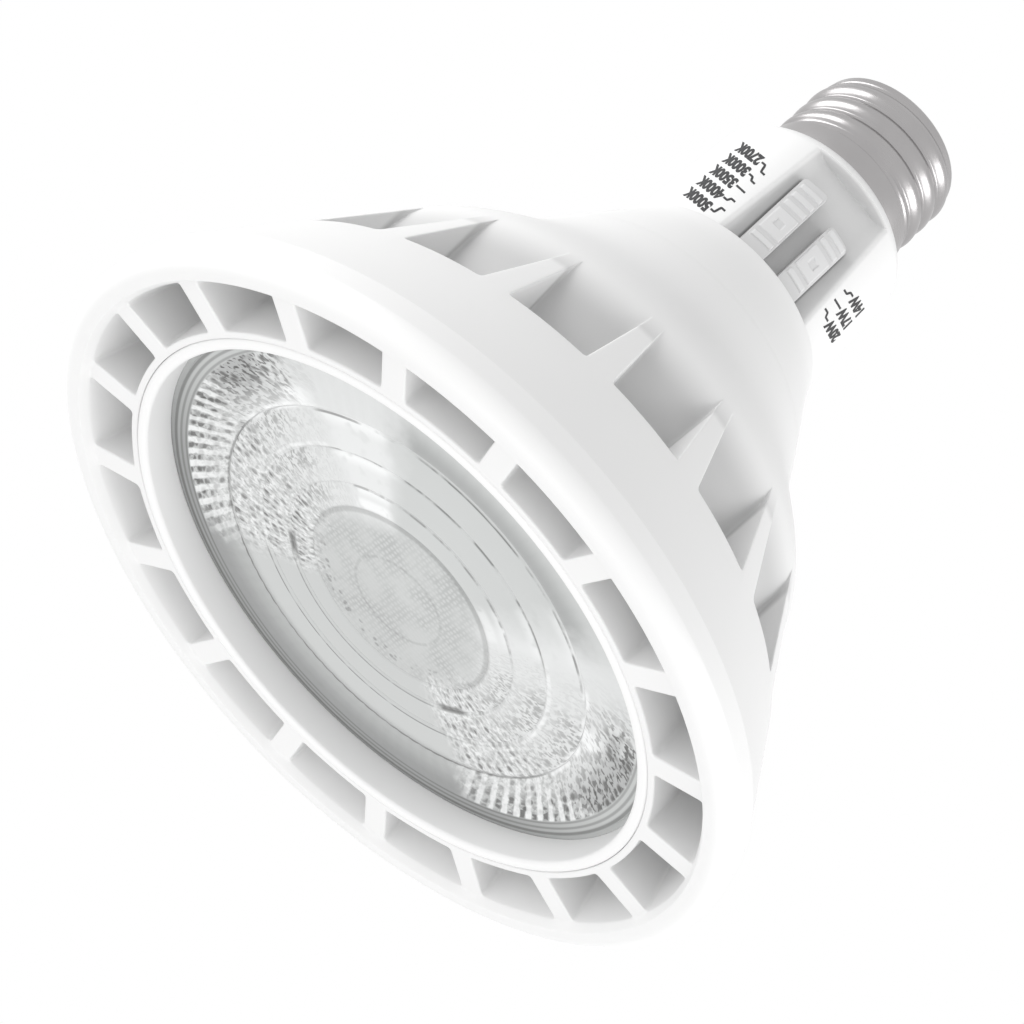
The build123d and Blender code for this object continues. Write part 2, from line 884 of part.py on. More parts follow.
def varistor():
    """Surge-absorbing disc standing on its edge on the board, above the electrolytic can."""
    body = fillet(disc(varistor_radius, 0, varistor_thickness).edges(), varistor_edge)
    low = component_base + capacitor_length + component_gap
    return Pos(-varistor_offset, board_face + varistor_radius, low) * body


def board_chip(size, place):
    """Flat package on the board's rear face, at its place above the board's lower edge."""
    width, depth, height = size
    return Pos(place[0], board_back - depth / 2, board_low + place[1]) * Box(width, depth, height)


def wire(points, radii):
    """Round wire along straight runs joined by arcs."""
    path = FilletPolyline(*points, radius=radii)
    section = Plane(origin=path @ 0, z_dir=path % 0) * Circle(wire_radius)
    return sweep(section, path)


def led_wires():
    """Two leads from the light source through the heat sink to the driver board."""
    front = led_board_face - wire_radius
    seat = board_face + wire_radius
    start = led_board_radius - wire_tight_bend
    run = [
        (0, start, front),
        (0, wire_hole_place, front),
        (0, wire_hole_place, sink_back + lead_rise),
        (0, seat + lead_slack, board_low + wire_tight_bend),
        (0, seat, board_low + lead_overlap),
    ]
    one = wire(run, [wire_tight_bend, wire_bend, wire_tight_bend / 2])
    return [Pos(side * wire_hole_radius / 2) * one for side in (-1, 1)]


def live_wire():
    """Lead from the driver board to the centre contact."""
    y = board_face + wire_radius
    top = insulator_top - insulator_depth
    run = [
        (-live_offset, y, board_high - lead_overlap),
        (-live_offset, y, neck_end),
        (0, 0, neck_end + lead_rise),
        (0, 0, top),
    ]
    return wire(run, [wire_bend, wire_bend])


def neutral_wire():
    """Lead from the driver board over the spigot's end to the screw shell."""
    y = board_face + wire_radius
    end = shell_bore - wire_radius
    crossing = spigot_top + 2 * wire_radius
    run = [
        (neutral_offset, y, board_high - lead_overlap),
        (neutral_offset, y, crossing),
        (end, y, crossing),
    ]
    return wire(run, [wire_tight_bend])


def screw_shell():
    """Plated shell: smooth skirt, rolled thread and a turned-in end."""
    outline = [
        (shell_bore, neck_end),
        (skirt_radius, neck_end),
        (skirt_radius, skirt_top),
        (thread_root, skirt_top + shell_sheet),
        (thread_root, shell_end - shell_turn),
        (shell_end_radius, shell_end),
        (shell_end_radius - shell_sheet, shell_end - shell_sheet),
        (thread_root - shell_sheet, shell_end - shell_turn - shell_sheet / 2),
    ]
    return ring_of(outline) + thread_ridge()


def thread_ridge():
    """Rounded helical ridge of the screw thread."""
    half = ridge_share * thread_pitch / 2
    start = skirt_top + half - shell_sheet
    run = shell_end - shell_turn - half - start
    root = -shell_wall / 2
    profile = Polyline((root, half), (root, -half), (0, -half))
    crown = ThreePointArc((0, -half), (thread_depth, 0), (0, half))
    close = Line((0, half), (root, half))
    face = make_face(Plane.XZ * (Curve() + [profile, crown, close]))
    path = Helix(thread_pitch, run, thread_root)
    ridge = sweep(Pos(thread_root, 0, 0) * face, path, is_frenet=True)
    return Pos(0, 0, start) * ridge


def base_insulator():
    """Insulating cone that closes the shell and carries the centre contact."""
    low = shell_end - insulator_depth
    hole = rivet_radius + insulator_clearance
    inner = thread_root - shell_sheet - insulator_clearance
    rim = shell_end_radius - shell_sheet - insulator_clearance
    return ring_of([
        (hole, low),
        (inner, low),
        (inner, shell_end - shell_turn - shell_sheet),
        (rim, shell_end - shell_sheet),
        (rim, shell_end + insulator_rim),
        (insulator_radius, insulator_top),
        (hole, insulator_top),
    ])


def centre_contact():
    """Domed centre contact with its rivet stem."""
    rim = insulator_top + contact_rim
    stem = insulator_top - insulator_depth
    outline = Polyline(
        (0, contact_top),
        (0, stem),
        (rivet_radius, stem),
        (rivet_radius, insulator_top),
        (contact_radius, insulator_top),
        (contact_radius, rim),
    )
    dome = dome_arc(contact_radius, rim, contact_top)
    return revolve(make_face(Plane.XZ * (Curve() + [outline, dome])), Axis.Z)


pieces = {
    "vented_housing": vented_housing(),
    "front_bezel": front_bezel(),
    "lens": lens(),
    "lens_gasket": lens_gasket(),
    "heat_sink": heat_sink(),
    "heat_sink_screws": heat_sink_screws(),
    "led_board": led_board(),
    "led_packages": led_packages(),
    "led_board_screws": led_board_screws(),
    "neck_housing": neck_housing(),
    "colour_slider": slider(-1, colour_pad_length, colour_ridges),
    "power_slider": slider(1, power_pad_length, power_ridges),
    "colour_switch_knob": switch_knob(-1),
    "power_switch_knob": switch_knob(1),
    "colour_switch_body": switch_body(-1, colour_travel),
    "power_switch_body": switch_body(1, power_travel),
    "switch_board": switch_board(),
    "switch_board_screws": switch_board_screws(),
    "switch_link_pins": switch_link_pins(),
    "driver_board": driver_board(),
    "transformer_core": transformer_core(),
    "transformer_coil": transformer_coil(),
    "bulk_capacitor": bulk_capacitor(),
    "film_capacitor": film_capacitor(),
    "input_choke": input_choke(),
    "fuse_resistor": fuse_resistor(),
    "varistor": varistor(),
    "bridge_rectifier": board_chip(rectifier_size, (-rectifier_offset, rectifier_rise)),
    "driver_chips": [board_chip(chip_size, place) for place in chip_places],
    "led_wires": led_wires(),
    "live_wire": live_wire(),
    "neutral_wire": neutral_wire(),
    "screw_shell": screw_shell(),
    "base_insulator": base_insulator(),
    "centre_contact": centre_contact(),
}

os.makedirs("parts", exist_ok=True)
for name, piece in pieces.items():
    solids = piece if isinstance(piece, list) else [piece]
    export_step(Compound(children=solids) if len(solids) > 1 else solids[0], f"parts/{name}.step")
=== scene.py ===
"""Looks of a reflector lamp with a vented housing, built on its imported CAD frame.

All sizes are millimetres in the lamp's own frame: the front rim lies on z = 0,
+Z runs along the axis to the screw base and the selector recess faces -Y.
"""

import logging
import math
from dataclasses import dataclass, field
from enum import Enum
from functools import partialmethod, reduce
from typing import Any, Sequence

import bmesh
import bpy
import numpy as np
from mathutils import Matrix, Vector


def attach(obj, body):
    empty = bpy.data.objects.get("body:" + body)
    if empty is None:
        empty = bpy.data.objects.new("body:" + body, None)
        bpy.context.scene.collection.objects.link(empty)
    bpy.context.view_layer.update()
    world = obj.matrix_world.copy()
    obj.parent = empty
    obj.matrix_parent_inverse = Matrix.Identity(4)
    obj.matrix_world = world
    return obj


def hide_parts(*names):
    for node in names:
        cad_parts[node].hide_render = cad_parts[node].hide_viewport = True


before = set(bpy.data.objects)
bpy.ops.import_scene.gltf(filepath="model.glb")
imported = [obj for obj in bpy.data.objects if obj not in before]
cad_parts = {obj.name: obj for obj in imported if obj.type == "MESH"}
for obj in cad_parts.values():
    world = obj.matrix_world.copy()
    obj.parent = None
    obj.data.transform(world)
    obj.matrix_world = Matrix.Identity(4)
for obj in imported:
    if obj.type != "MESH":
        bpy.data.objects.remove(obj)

Array = np.ndarray
Pair = tuple[float, float]
Triple = tuple[float, float, float]
Colour = Triple
Line = Triple

MM = 0.001
LAMP = "lamp"
log = logging.getLogger("lamp")


# ---------------------------------------------------------------- curves and surfaces

def smooth_min(a: Array, b: Array, blend: float) -> Array:
    """Smaller of two fields, rounded over a band where they meet.

    Args:
        a: First field.
        b: Second field.
        blend: Width of the band, in the fields' own unit.

    Returns:
        b + (a - b) h - blend h (1 - h), with h the share of a, clipped to 0 and 1.
    """
    share = np.clip(0.5 + 0.5 * (b - a) / blend, 0.0, 1.0)
    return b + (a - b) * share - blend * share * (1.0 - share)


def smooth_max(a: Array, b: Array, blend: float) -> Array:
    """Larger of two fields, rounded over a band: the mirrored smooth minimum."""
    return -smooth_min(-a, -b, blend)


def smooth_step(low: float, high: float, x: Array) -> Array:
    """Cubic step 3t^2 - 2t^3 that rises from 0 at low to 1 at high."""
    t = np.clip((x - low) / (high - low), 0.0, 1.0)
    return t * t * (3.0 - 2.0 * t)


def unit(vectors: Array) -> Array:
    """Vectors of length one along the last axis."""
    return vectors / np.maximum(np.linalg.norm(vectors, axis=-1, keepdims=True), 1e-9)


def stacked(*parts: Array | float) -> Array:
    """Points whose coordinates are these fields, spread to one common shape."""
    return np.stack(np.broadcast_arrays(*parts), axis=-1)


def polar(radius: Array, angle: Array, height: Array) -> Array:
    """Points (r cos a, r sin a, z) from cylinder coordinates."""
    return stacked(radius * np.cos(angle), radius * np.sin(angle), height)


def bezier(start: Array, control: Array, end: Array, t: Array) -> Array:
    """Parabola (1-t)^2 A + 2t(1-t) B + t^2 C for each value of t."""
    return (1 - t) ** 2 * start + 2 * t * (1 - t) * control + t ** 2 * end


def rounded_line(corners: Sequence[tuple[float, ...]], steps: int = 5) -> Array:
    """Line through corner points, with an arc at each corner that has a radius.

    Args:
        corners: (x, y) or (x, y, radius) of each corner.
        steps: Spans of each arc.

    Returns:
        Points of the line. An arc turns from one side's tangent point to the
        other's about a centre on the corner's bisector.
    """
    nearly_straight = 1.55
    flat = [np.array(corner[:2], float) for corner in corners]
    points = [flat[0][None]]
    for before, here, after, corner in zip(flat, flat[1:], flat[2:], corners[1:]):
        radius = corner[2] if len(corner) > 2 else 0.0
        a, b = unit(before - here), unit(after - here)
        half = 0.5 * math.acos(float(np.clip(a @ b, -1.0, 1.0)))
        if radius <= 0.0 or half > nearly_straight:
            points.append(here[None])
            continue
        reach = radius / math.tan(half)
        centre = here + unit(a + b) * radius / math.sin(half)
        first, last = here + a * reach - centre, here + b * reach - centre
        turn = math.pi - 2.0 * half
        t = np.linspace(0.0, 1.0, steps + 1)[:, None]
        points.append(centre + (np.sin((1 - t) * turn) * first + np.sin(t * turn) * last) / math.sin(turn))
    points.append(flat[-1][None])
    return np.concatenate(points)


def clamped_spline(knots: Array, start: Array, end: Array, count: int) -> Array:
    """Cubic curve through knots with given end directions.

    Args:
        knots: Points to pass, one a row.
        start: Direction at the first knot.
        end: Direction at the last knot.
        count: Points to return.

    Returns:
        Points spaced evenly in chord length. The slopes at the knots solve the
        tridiagonal system that makes the second derivative continuous.
    """
    step = np.linalg.norm(np.diff(knots, axis=0), axis=1)
    place = np.concatenate([[0.0], np.cumsum(step)])
    inverse = 1.0 / step
    middle = np.concatenate([[1.0], 2.0 * (inverse[:-1] + inverse[1:]), [1.0]])
    upper = np.concatenate([[0.0], inverse[1:]])
    lower = np.concatenate([inverse[:-1], [0.0]])
    system = np.diag(middle) + np.diag(upper, 1) + np.diag(lower, -1)
    pull = 3.0 * np.diff(knots, axis=0) * (inverse ** 2)[:, None]
    right = np.vstack([unit(start)[None], pull[:-1] + pull[1:], unit(end)[None]])
    slope = np.linalg.solve(system, right)
    s = np.linspace(0.0, place[-1], count)
    k = np.clip(np.searchsorted(place, s, side="right") - 1, 0, len(step) - 1)
    t = ((s - place[k]) / step[k])[:, None]
    width = step[k][:, None]
    return (
        (1 + 2 * t) * (1 - t) ** 2 * knots[k] + t * (1 - t) ** 2 * width * slope[k]
        + t ** 2 * (3 - 2 * t) * knots[k + 1] + t ** 2 * (t - 1) * width * slope[k + 1]
    )


@dataclass
class Shape:
    """Points in millimetres with the quads and triangles between them."""

    points: Array
    quads: Array
    triangles: Array = field(default_factory=lambda: np.empty((0, 3), np.int64))

    @classmethod
    def sheet(cls, grid: Array, close_rows: bool = False, close_columns: bool = False,
              holes: Array | None = None) -> "Shape":
        """Surface over a grid of points.

        Args:
            grid: Points with the axes row, column, coordinate.
            close_rows: Join the last row to the first.
            close_columns: Join the last column to the first.
            holes: True for each cell that stays open.

        Returns:
            One quad for each closed cell.
        """
        rows, columns = grid.shape[:2]
        index = np.arange(rows * columns).reshape(rows, columns)
        if close_rows:
            index = np.vstack([index, index[:1]])
        if close_columns:
            index = np.hstack([index, index[:, :1]])
        quads = np.stack([index[:-1, :-1], index[:-1, 1:], index[1:, 1:], index[1:, :-1]], axis=-1)
        quads = quads.reshape(-1, 4) if holes is None else quads[~holes]
        return cls(grid.reshape(-1, 3), quads)

    @classmethod
    def turned_profile(cls, profile: Array, count: int, closed: bool = False) -> "Shape":
        """Profile of (radius, height) points carried round the axis in count steps."""
        angle = np.arange(count) * 2 * math.pi / count
        grid = polar(profile[:, :1], angle[None], profile[:, 1:])
        return cls.sheet(grid, close_rows=closed, close_columns=True)

    @classmethod
    def slab(cls, top: Array, bottom: Array) -> "Shape":
        """Closed body between two grids of equal size, walled along their borders."""
        rows, columns = top.shape[:2]
        i = np.concatenate([np.zeros(columns, int), np.arange(1, rows), np.full(columns - 1, rows - 1),
                            np.arange(rows - 2, 0, -1)])
        j = np.concatenate([np.arange(columns), np.full(rows - 1, columns - 1), np.arange(columns - 2, -1, -1),
                            np.zeros(rows - 2, int)])
        wall = cls.sheet(np.stack([top[i, j], bottom[i, j]]), close_columns=True)
        return cls.joined([cls.sheet(top), cls.sheet(bottom), wall])

    @classmethod
    def joined(cls, shapes: Sequence["Shape"]) -> "Shape":
        """Several shapes as one."""
        start = np.cumsum([0] + [len(shape.points) for shape in shapes])
        return cls(
            np.vstack([shape.points for shape in shapes]),
            np.vstack([shape.quads + first for shape, first in zip(shapes, start)]),
            np.vstack([shape.triangles + first for shape, first in zip(shapes, start)]),
        )

    def turned(self, angles: Array) -> "Shape":
        """Copies turned about the axis by each angle, in radians."""
        cosine, sine = np.cos(angles)[:, None], np.sin(angles)[:, None]
        x, y, z = self.points.T
        points = stacked(x * cosine - y * sine, x * sine + y * cosine, z)
        start = (np.arange(len(angles)) * len(self.points))[:, None, None]
        return Shape(points.reshape(-1, 3), (self.quads[None] + start).reshape(-1, 4),
                     (self.triangles[None] + start).reshape(-1, 3))

    def moved(self, x: float, y: float, z: float) -> "Shape":
        """The same shape at another place."""
        return Shape(self.points + np.array([x, y, z]), self.quads, self.triangles)

    def welded(self, cell: float = 1e-3, offset: float = 0.317) -> "Shape":
        """Merge points that share a cell of a fine lattice, and drop what collapses."""
        lattice = np.floor(self.points / cell + offset).astype(np.int64)
        _, first, place = np.unique(lattice, axis=0, return_index=True, return_inverse=True)
        place = place.ravel()
        quads = place[self.quads]
        same = quads == np.roll(quads, -1, axis=1)
        count = same.sum(axis=1)
        pinched = quads[count == 1][~same[count == 1]].reshape(-1, 3)
        return Shape(self.points[first], quads[count == 0], np.vstack([place[self.triangles], pinched]))


# ---------------------------------------------------------------- shader maths

class Value:
    """A shader socket that takes part in Python expressions."""

    def __init__(self, net: "Net", socket: bpy.types.NodeSocket) -> None:
        """Wrap one output socket of a net."""
        self.net = net
        self.socket = socket

    def _math(self, operation: str, other: Any = 0.0) -> "Value":
        """Math node on this value and another."""
        return self.net.add("ShaderNodeMath", {"operation": operation}, {0: self, 1: other})

    def __rsub__(self, other: Any) -> "Value":
        """other - self."""
        return self.net.add("ShaderNodeMath", {"operation": "SUBTRACT"}, {0: other, 1: self})

    __add__ = partialmethod(_math, "ADD")
    __sub__ = partialmethod(_math, "SUBTRACT")
    __mul__ = partialmethod(_math, "MULTIPLY")
    __truediv__ = partialmethod(_math, "DIVIDE")
    __pow__ = partialmethod(_math, "POWER")
    sine = partialmethod(_math, "SINE")
    size = partialmethod(_math, "ABSOLUTE")
    largest = partialmethod(_math, "MAXIMUM")


class Net:
    """A node tree and the nodes that are added to it."""

    def __init__(self, tree: bpy.types.NodeTree) -> None:
        """Start with an empty tree."""
        tree.nodes.clear()
        self.tree = tree

    def add(self, kind: str, settings: dict[str, Any] | None = None,
            inputs: dict[Any, Any] | None = None, output: int | str = 0) -> Value:
        """Add one node.

        Args:
            kind: Blender's name of the node's type.
            settings: Properties, set first. "stops" fills a colour ramp.
            inputs: Socket name or number to a value or a link.
            output: Socket that the returned value stands for.

        Returns:
            The chosen output as a value, or the first input of a node that has none.
        """
        node = self.tree.nodes.new(kind)
        for name, setting in (settings or {}).items():
            if name == "stops":
                ramp = node.color_ramp.elements
                ramp[0].position, ramp[1].position = setting[0][0], setting[-1][0]
                for place, _ in setting[1:-1]:
                    ramp.new(place)
                for element, (_, colour) in zip(ramp, setting):
                    element.color = (*colour, 1.0)
            else:
                setattr(node, name, setting)
        for name, given in (inputs or {}).items():
            if isinstance(given, Value):
                self.tree.links.new(given.socket, node.inputs[name])
            else:
                node.inputs[name].default_value = given
        return Value(self, node.outputs[output]) if len(node.outputs) else Value(self, node.inputs[0])

    def position(self, scale: Triple = (1.0, 1.0, 1.0)) -> Value:
        """Object coordinates in millimetres, stretched by a scale."""
        coordinate = self.add("ShaderNodeTexCoord", output="Object")
        factor = tuple(1000.0 * part for part in scale)
        return self.add("ShaderNodeMapping", inputs={"Vector": coordinate, "Scale": factor})

    def cylinder(self) -> tuple[Value, Value]:
        """Distance from the lamp's axis and height along it, in millimetres."""
        x, y, z = self.parts(self.position())
        return (x * x + y * y) ** 0.5, z

    def parts(self, vector: Value, count: int = 3) -> list[Value]:
        """First coordinates of a vector."""
        return [self.add("ShaderNodeSeparateXYZ", inputs={0: vector}, output=axis) for axis in range(count)]

    def cells(self, vector: Value, size: float, spread: float = 1.0, output: str = "Distance") -> Value:
        """Voronoi cells about size millimetres wide: the distance from a cell's point, or its own colour."""
        given = {"Vector": vector, "Scale": 1.0 / size, "Randomness": spread}
        return self.add("ShaderNodeTexVoronoi", inputs=given, output=output)

    def noise(self, vector: Value, size: float, detail: float = 2.0) -> Value:
        """Noise from 0 to 1 whose lumps are about size millimetres."""
        return self.add("ShaderNodeTexNoise", inputs={"Vector": vector, "Scale": 1.0 / size, "Detail": detail})

    def step(self, low: float, high: float, value: Value) -> Value:
        """Smooth step of a value, from 0 at low to 1 at high."""
        ends = {"From Min": low, "From Max": high} if low < high else {
            "From Min": high, "From Max": low, "To Min": 1.0, "To Max": 0.0}
        return self.add("ShaderNodeMapRange", {"interpolation_type": "SMOOTHSTEP"}, {"Value": value, **ends})

    def mix(self, share: Any, first: Any, second: Any) -> Value:
        """Colour between two colours."""
        given = {name: part if isinstance(part, Value) else (*part, 1.0)
                 for name, part in ((6, first), (7, second))}
        return self.add("ShaderNodeMix", {"data_type": "RGBA"}, {0: share, **given}, output=2)

    def bump(self, height: Value, depth: float, strength: float = 1.0) -> Value:
        """Normal bent by a height from 0 to 1 that stands for depth millimetres."""
        return self.add("ShaderNodeBump", inputs={"Height": height, "Distance": depth * MM, "Strength": strength})

    def surface(self, inputs: dict[str, Any]) -> None:
        """Principled shader with these inputs as the material's surface."""
        given = {name: (*part, 1.0) if isinstance(part, tuple) and len(part) == 3 else part
                 for name, part in inputs.items()}
        shader = self.add("ShaderNodeBsdfPrincipled", inputs=given)
        self.add("ShaderNodeOutputMaterial", inputs={"Surface": shader})


# ---------------------------------------------------------------- finishes

@dataclass(frozen=True)
class Finish:
    """A named surface finish."""

    name: str

    def material(self) -> bpy.types.Material:
        """The finish as a material, made once."""
        made = bpy.data.materials.get(self.name + "_finish")
        if made is None:
            made = bpy.data.materials.new(self.name + "_finish")
            made.use_nodes = True
            self.paint(Net(made.node_tree))
        return made

    def paint(self, net: Net) -> None:
        """Fill the material's node tree."""
        raise NotImplementedError


@dataclass(frozen=True)
class Moulding(Finish):
    """Moulded plastic or rubber: faint flow marks and a fine eroded grain."""

    colour: Colour = (0.8, 0.8, 0.8)
    shade: Colour = (0.76, 0.76, 0.76)
    gloss: float = 0.4
    grain: float = 0.35
    relief: float = 0.01
    coat: float = 0.0
    flow_size: float = 26.0

    def paint(self, net: Net) -> None:
        """Tone and roughness drift with a slow noise, a fine noise gives the grain."""
        place = net.position()
        flow = net.noise(place, self.flow_size, 3.0)
        grain = net.noise(place, self.grain, 2.0)
        net.surface({
            "Base Color": self.ground(net, flow),
            "Roughness": flow * 0.12 + grain * 0.06 + (self.gloss - 0.09),
            "Coat Weight": self.coat,
            "Normal": net.bump(grain, self.relief, 0.5),
        })

    def ground(self, net: Net, flow: Value) -> Value:
        """Colour between the two tones."""
        return net.mix(flow, self.colour, self.shade)


@dataclass(frozen=True)
class HousingMoulding(Moulding):
    """Housing plastic with painted shade on the pocket floors and inside the vents."""

    # Colour of the painted shade on the pocket floors and in the vents.
    painted_shade: Colour = (0.53, 0.53, 0.53)
    cone: Pair = (63.09, 0.5367)
    floor: float = 43.5
    floor_soft: float = 0.9
    floor_start: Pair = (10.0, 18.0)
    tip: float = 39.3
    tip_soft: Pair = (1.5, -7.0)
    band_top: float = 21.6
    band_soft: Pair = (-0.2, -1.0)
    vent_depth: Pair = (2.4, 3.4)
    vent_start: Pair = (1.6, 10.0)
    # Share of the painted shade inside the vents.
    vent_shade: float = 0.35

    def ground(self, net: Net, flow: Value) -> Value:
        """Painted shade where the radius is down at the cup, and deep below the band's cone."""
        radius, height = net.cylinder()
        tip = [self.tip + soft for soft in self.tip_soft]
        # Painted shade on the pocket floors, fading in between 10 and 18 mm up and out towards the ribs' tips.
        floor = net.step(self.floor + self.floor_soft, self.floor, radius) * net.step(*tip, height)
        floor = floor * net.step(*self.floor_start, height)
        # Painted shade inside the vents, deep below the band's cone and in front of the band's back edge.
        depth = self.cone[0] - height * self.cone[1] - radius
        vent = net.step(*self.vent_depth, depth) * net.step(*self.vent_start, height)
        vent = vent * net.step(*[self.band_top + soft for soft in self.band_soft], height)
        return net.mix(floor.largest(vent * self.vent_shade), super().ground(net, flow), self.painted_shade)


@dataclass(frozen=True)
class NeckMoulding(Moulding):
    """Neck plastic with painted shade on the floor of the recess and a painted shadow beside the pads."""

    # Colour of the painted shade on the recess's floor and slopes.
    painted_shade: Colour = (0.6, 0.6, 0.6)
    # Colour of the painted shadow in the gap beside the pads.
    gap: Colour = (0.3, 0.3, 0.3)
    taper: Pair = (22.095, 0.04762)
    depth: Pair = (1.5, 3.0)
    depth_share: float = 0.15
    edge_depth: Pair = (0.15, 0.8)
    edge_share: float = 0.85
    pads: float = 6.1
    pads_soft: Triple = (-0.3, 0.55, 0.15)
    pads_ends: Pair = (93.6, 90.8)
    gap_shadow_depth: Pair = (1.2, 2.2)
    gap_shadow_end: Pair = (0.4, -0.8)
    end: float = 99.3

    def ground(self, net: Net, flow: Value) -> Value:
        """Painted shade growing with the depth below the neck's taper, up to the recess's end, and a painted shadow
        beside the pads.
        """
        radius, height = net.cylinder()
        x = net.parts(net.position(), 1)[0]
        across = x.size()
        # Painted shade on the recess's floor and slopes, growing with the depth below the neck's taper.
        depth = self.taper[0] - height * self.taper[1] - radius
        inside = net.step(self.end, self.end - 0.5, height)
        deep, edge = net.step(*self.depth, depth), net.step(*self.edge_depth, depth)
        floor = (deep * self.depth_share + edge * self.edge_share) * inside
        # Painted shadow beside the pads, up to each pad's end at rest; it stays in place when the pads slide.
        before, after, past = (self.pads + soft for soft in self.pads_soft)
        gap = net.step(before, self.pads, across) * net.step(after, past, across)
        colour_end, power_end = self.pads_ends
        above = height - net.step(0.5, -0.5, x) * (colour_end - power_end) - power_end
        gap = gap * net.step(*self.gap_shadow_depth, depth) * net.step(*self.gap_shadow_end, above)
        return net.mix(gap, net.mix(floor, super().ground(net, flow), self.painted_shade), self.gap)


@dataclass(frozen=True)
class SelectorMoulding(Moulding):
    """Selector plastic with painted shade in the grooves between the finger ridges and on the pad's sides."""

    # Colour of the painted shade in the grooves and on the pad's sides.
    painted_shade: Colour = (0.52, 0.52, 0.52)
    face: float = 16.9
    raised: float = 0.3

    def ground(self, net: Net, flow: Value) -> Value:
        """Painted shade with the depth below the ridges' tops."""
        radius, _ = net.cylinder()
        # Painted shade in the grooves between the ridges, and on the pad's rolled sides.
        groove = net.step(self.face + self.raised - 0.04, self.face + 0.06, radius) * 0.4
        groove = groove.largest(net.step(self.face - 0.05, self.face - 0.5, radius))
        return net.mix(groove, super().ground(net, flow), self.painted_shade)


@dataclass(frozen=True)
class PlatedMetal(Finish):
    """Metal with fine drawing lines round the lamp's axis."""

    colour: Colour = (0.6, 0.6, 0.6)
    shade: Colour = (0.5, 0.5, 0.5)
    gloss: float = 0.28
    line: float = 0.08
    relief: float = 0.004

    def paint(self, net: Net) -> None:
        """A noise stretched round the axis makes the lines, a slow one the haze."""
        lines = net.noise(net.position((0.03, 0.03, 1.0)), self.line, 3.0)
        haze = net.noise(net.position(), 6.0, 4.0)
        net.surface({
            "Base Color": net.mix(haze, self.colour, self.shade),
            "Metallic": 1.0,
            "Roughness": haze * 0.16 + lines * 0.08 + (self.gloss - 0.12),
            "Normal": net.bump(lines, self.relief, 0.6),
        })


@dataclass(frozen=True)
class SpunMetal(Finish):
    """Spun sheet metal: turning rings about the lamp's axis."""

    colour: Colour = (0.7, 0.71, 0.72)
    shade: Colour = (0.56, 0.57, 0.59)
    gloss: float = 0.36
    pitch: float = 0.5

    def paint(self, net: Net) -> None:
        """A ring wave of the distance from the axis, broken up by noise."""
        place = net.position()
        rings = net.add("ShaderNodeTexWave", {"wave_type": "RINGS", "rings_direction": "Z"},
                        {"Vector": place, "Scale": 0.314 / self.pitch, "Distortion": 1.5, "Detail": 2.0})
        haze = net.noise(place, 9.0, 3.0)
        net.surface({
            "Base Color": net.mix(haze * 0.6 + rings * 0.3, self.colour, self.shade),
            "Metallic": 1.0,
            "Roughness": rings * 0.1 + haze * 0.1 + (self.gloss - 0.1),
            "Normal": net.bump(rings, 0.01, 0.5),
        })


@dataclass(frozen=True)
class CircuitBoard(Finish):
    """Lacquered board with the shine of its copper runs below the lacquer."""

    colour: Colour = (0.02, 0.2, 0.07)
    copper: Colour = (0.05, 0.32, 0.13)
    pitch: float = 2.2

    def paint(self, net: Net) -> None:
        """A brick pattern, warped a little, stands for the copper runs."""
        place = net.position()
        turned = net.add("ShaderNodeMapping", inputs={"Vector": place, "Rotation": (math.pi / 2, 0.0, 0.0)})
        runs = net.add("ShaderNodeTexBrick", {"offset": 0.37, "squash": 1.6, "squash_frequency": 3}, {
            "Vector": turned, "Color1": (0.0, 0.0, 0.0, 1.0), "Color2": (0.7, 0.7, 0.7, 1.0),
            "Mortar": (1.0, 1.0, 1.0, 1.0), "Scale": 1.0 / self.pitch, "Mortar Size": 0.05, "Brick Width": 2.6,
        }, output="Fac")
        fibre = net.noise(place, 0.4, 2.0)
        net.surface({
            "Base Color": net.mix(runs * 0.8 + fibre * 0.2, self.colour, self.copper),
            "Roughness": fibre * 0.12 + runs * 0.06 + 0.26,
            "Coat Weight": 0.3,
            "Normal": net.bump(runs, 0.03, 0.6),
        })


@dataclass(frozen=True)
class Banded(Finish):
    """Wrapped or printed tape, sleeve or coating with bands along the lamp's axis."""

    colour: Colour = (0.75, 0.6, 0.08)
    band: Colour = (0.6, 0.45, 0.05)
    pitch: float = 2.4
    gloss: float = 0.35

    def paint(self, net: Net) -> None:
        """A saw wave along Z marks the laps, a noise smudges them."""
        place = net.position()
        laps = net.add("ShaderNodeTexWave", {"wave_profile": "SAW", "bands_direction": "Z"},
                       {"Vector": place, "Scale": 0.314 / self.pitch, "Distortion": 0.4})
        smudge = net.noise(place, 2.0, 3.0)
        net.surface({
            "Base Color": net.mix(laps * 0.7 + smudge * 0.3, self.colour, self.band),
            "Roughness": smudge * 0.15 + (self.gloss - 0.05),
            "Normal": net.bump(laps, 0.05, 0.7),
        })


@dataclass(frozen=True)
class Speckled(Finish):
    """Sintered or granular body: dark grains in a matt ground."""

    colour: Colour = (0.06, 0.06, 0.065)
    speck: Colour = (0.12, 0.12, 0.13)
    size: float = 0.5
    gloss: float = 0.55

    def paint(self, net: Net) -> None:
        """Cells of a Voronoi pattern tint and pit the ground."""
        place = net.position()
        cells = net.cells(place, self.size)
        net.surface({
            "Base Color": net.mix(cells, self.speck, self.colour),
            "Roughness": cells * 0.2 + (self.gloss - 0.1),
            "Normal": net.bump(cells, 0.02, 0.5),
        })


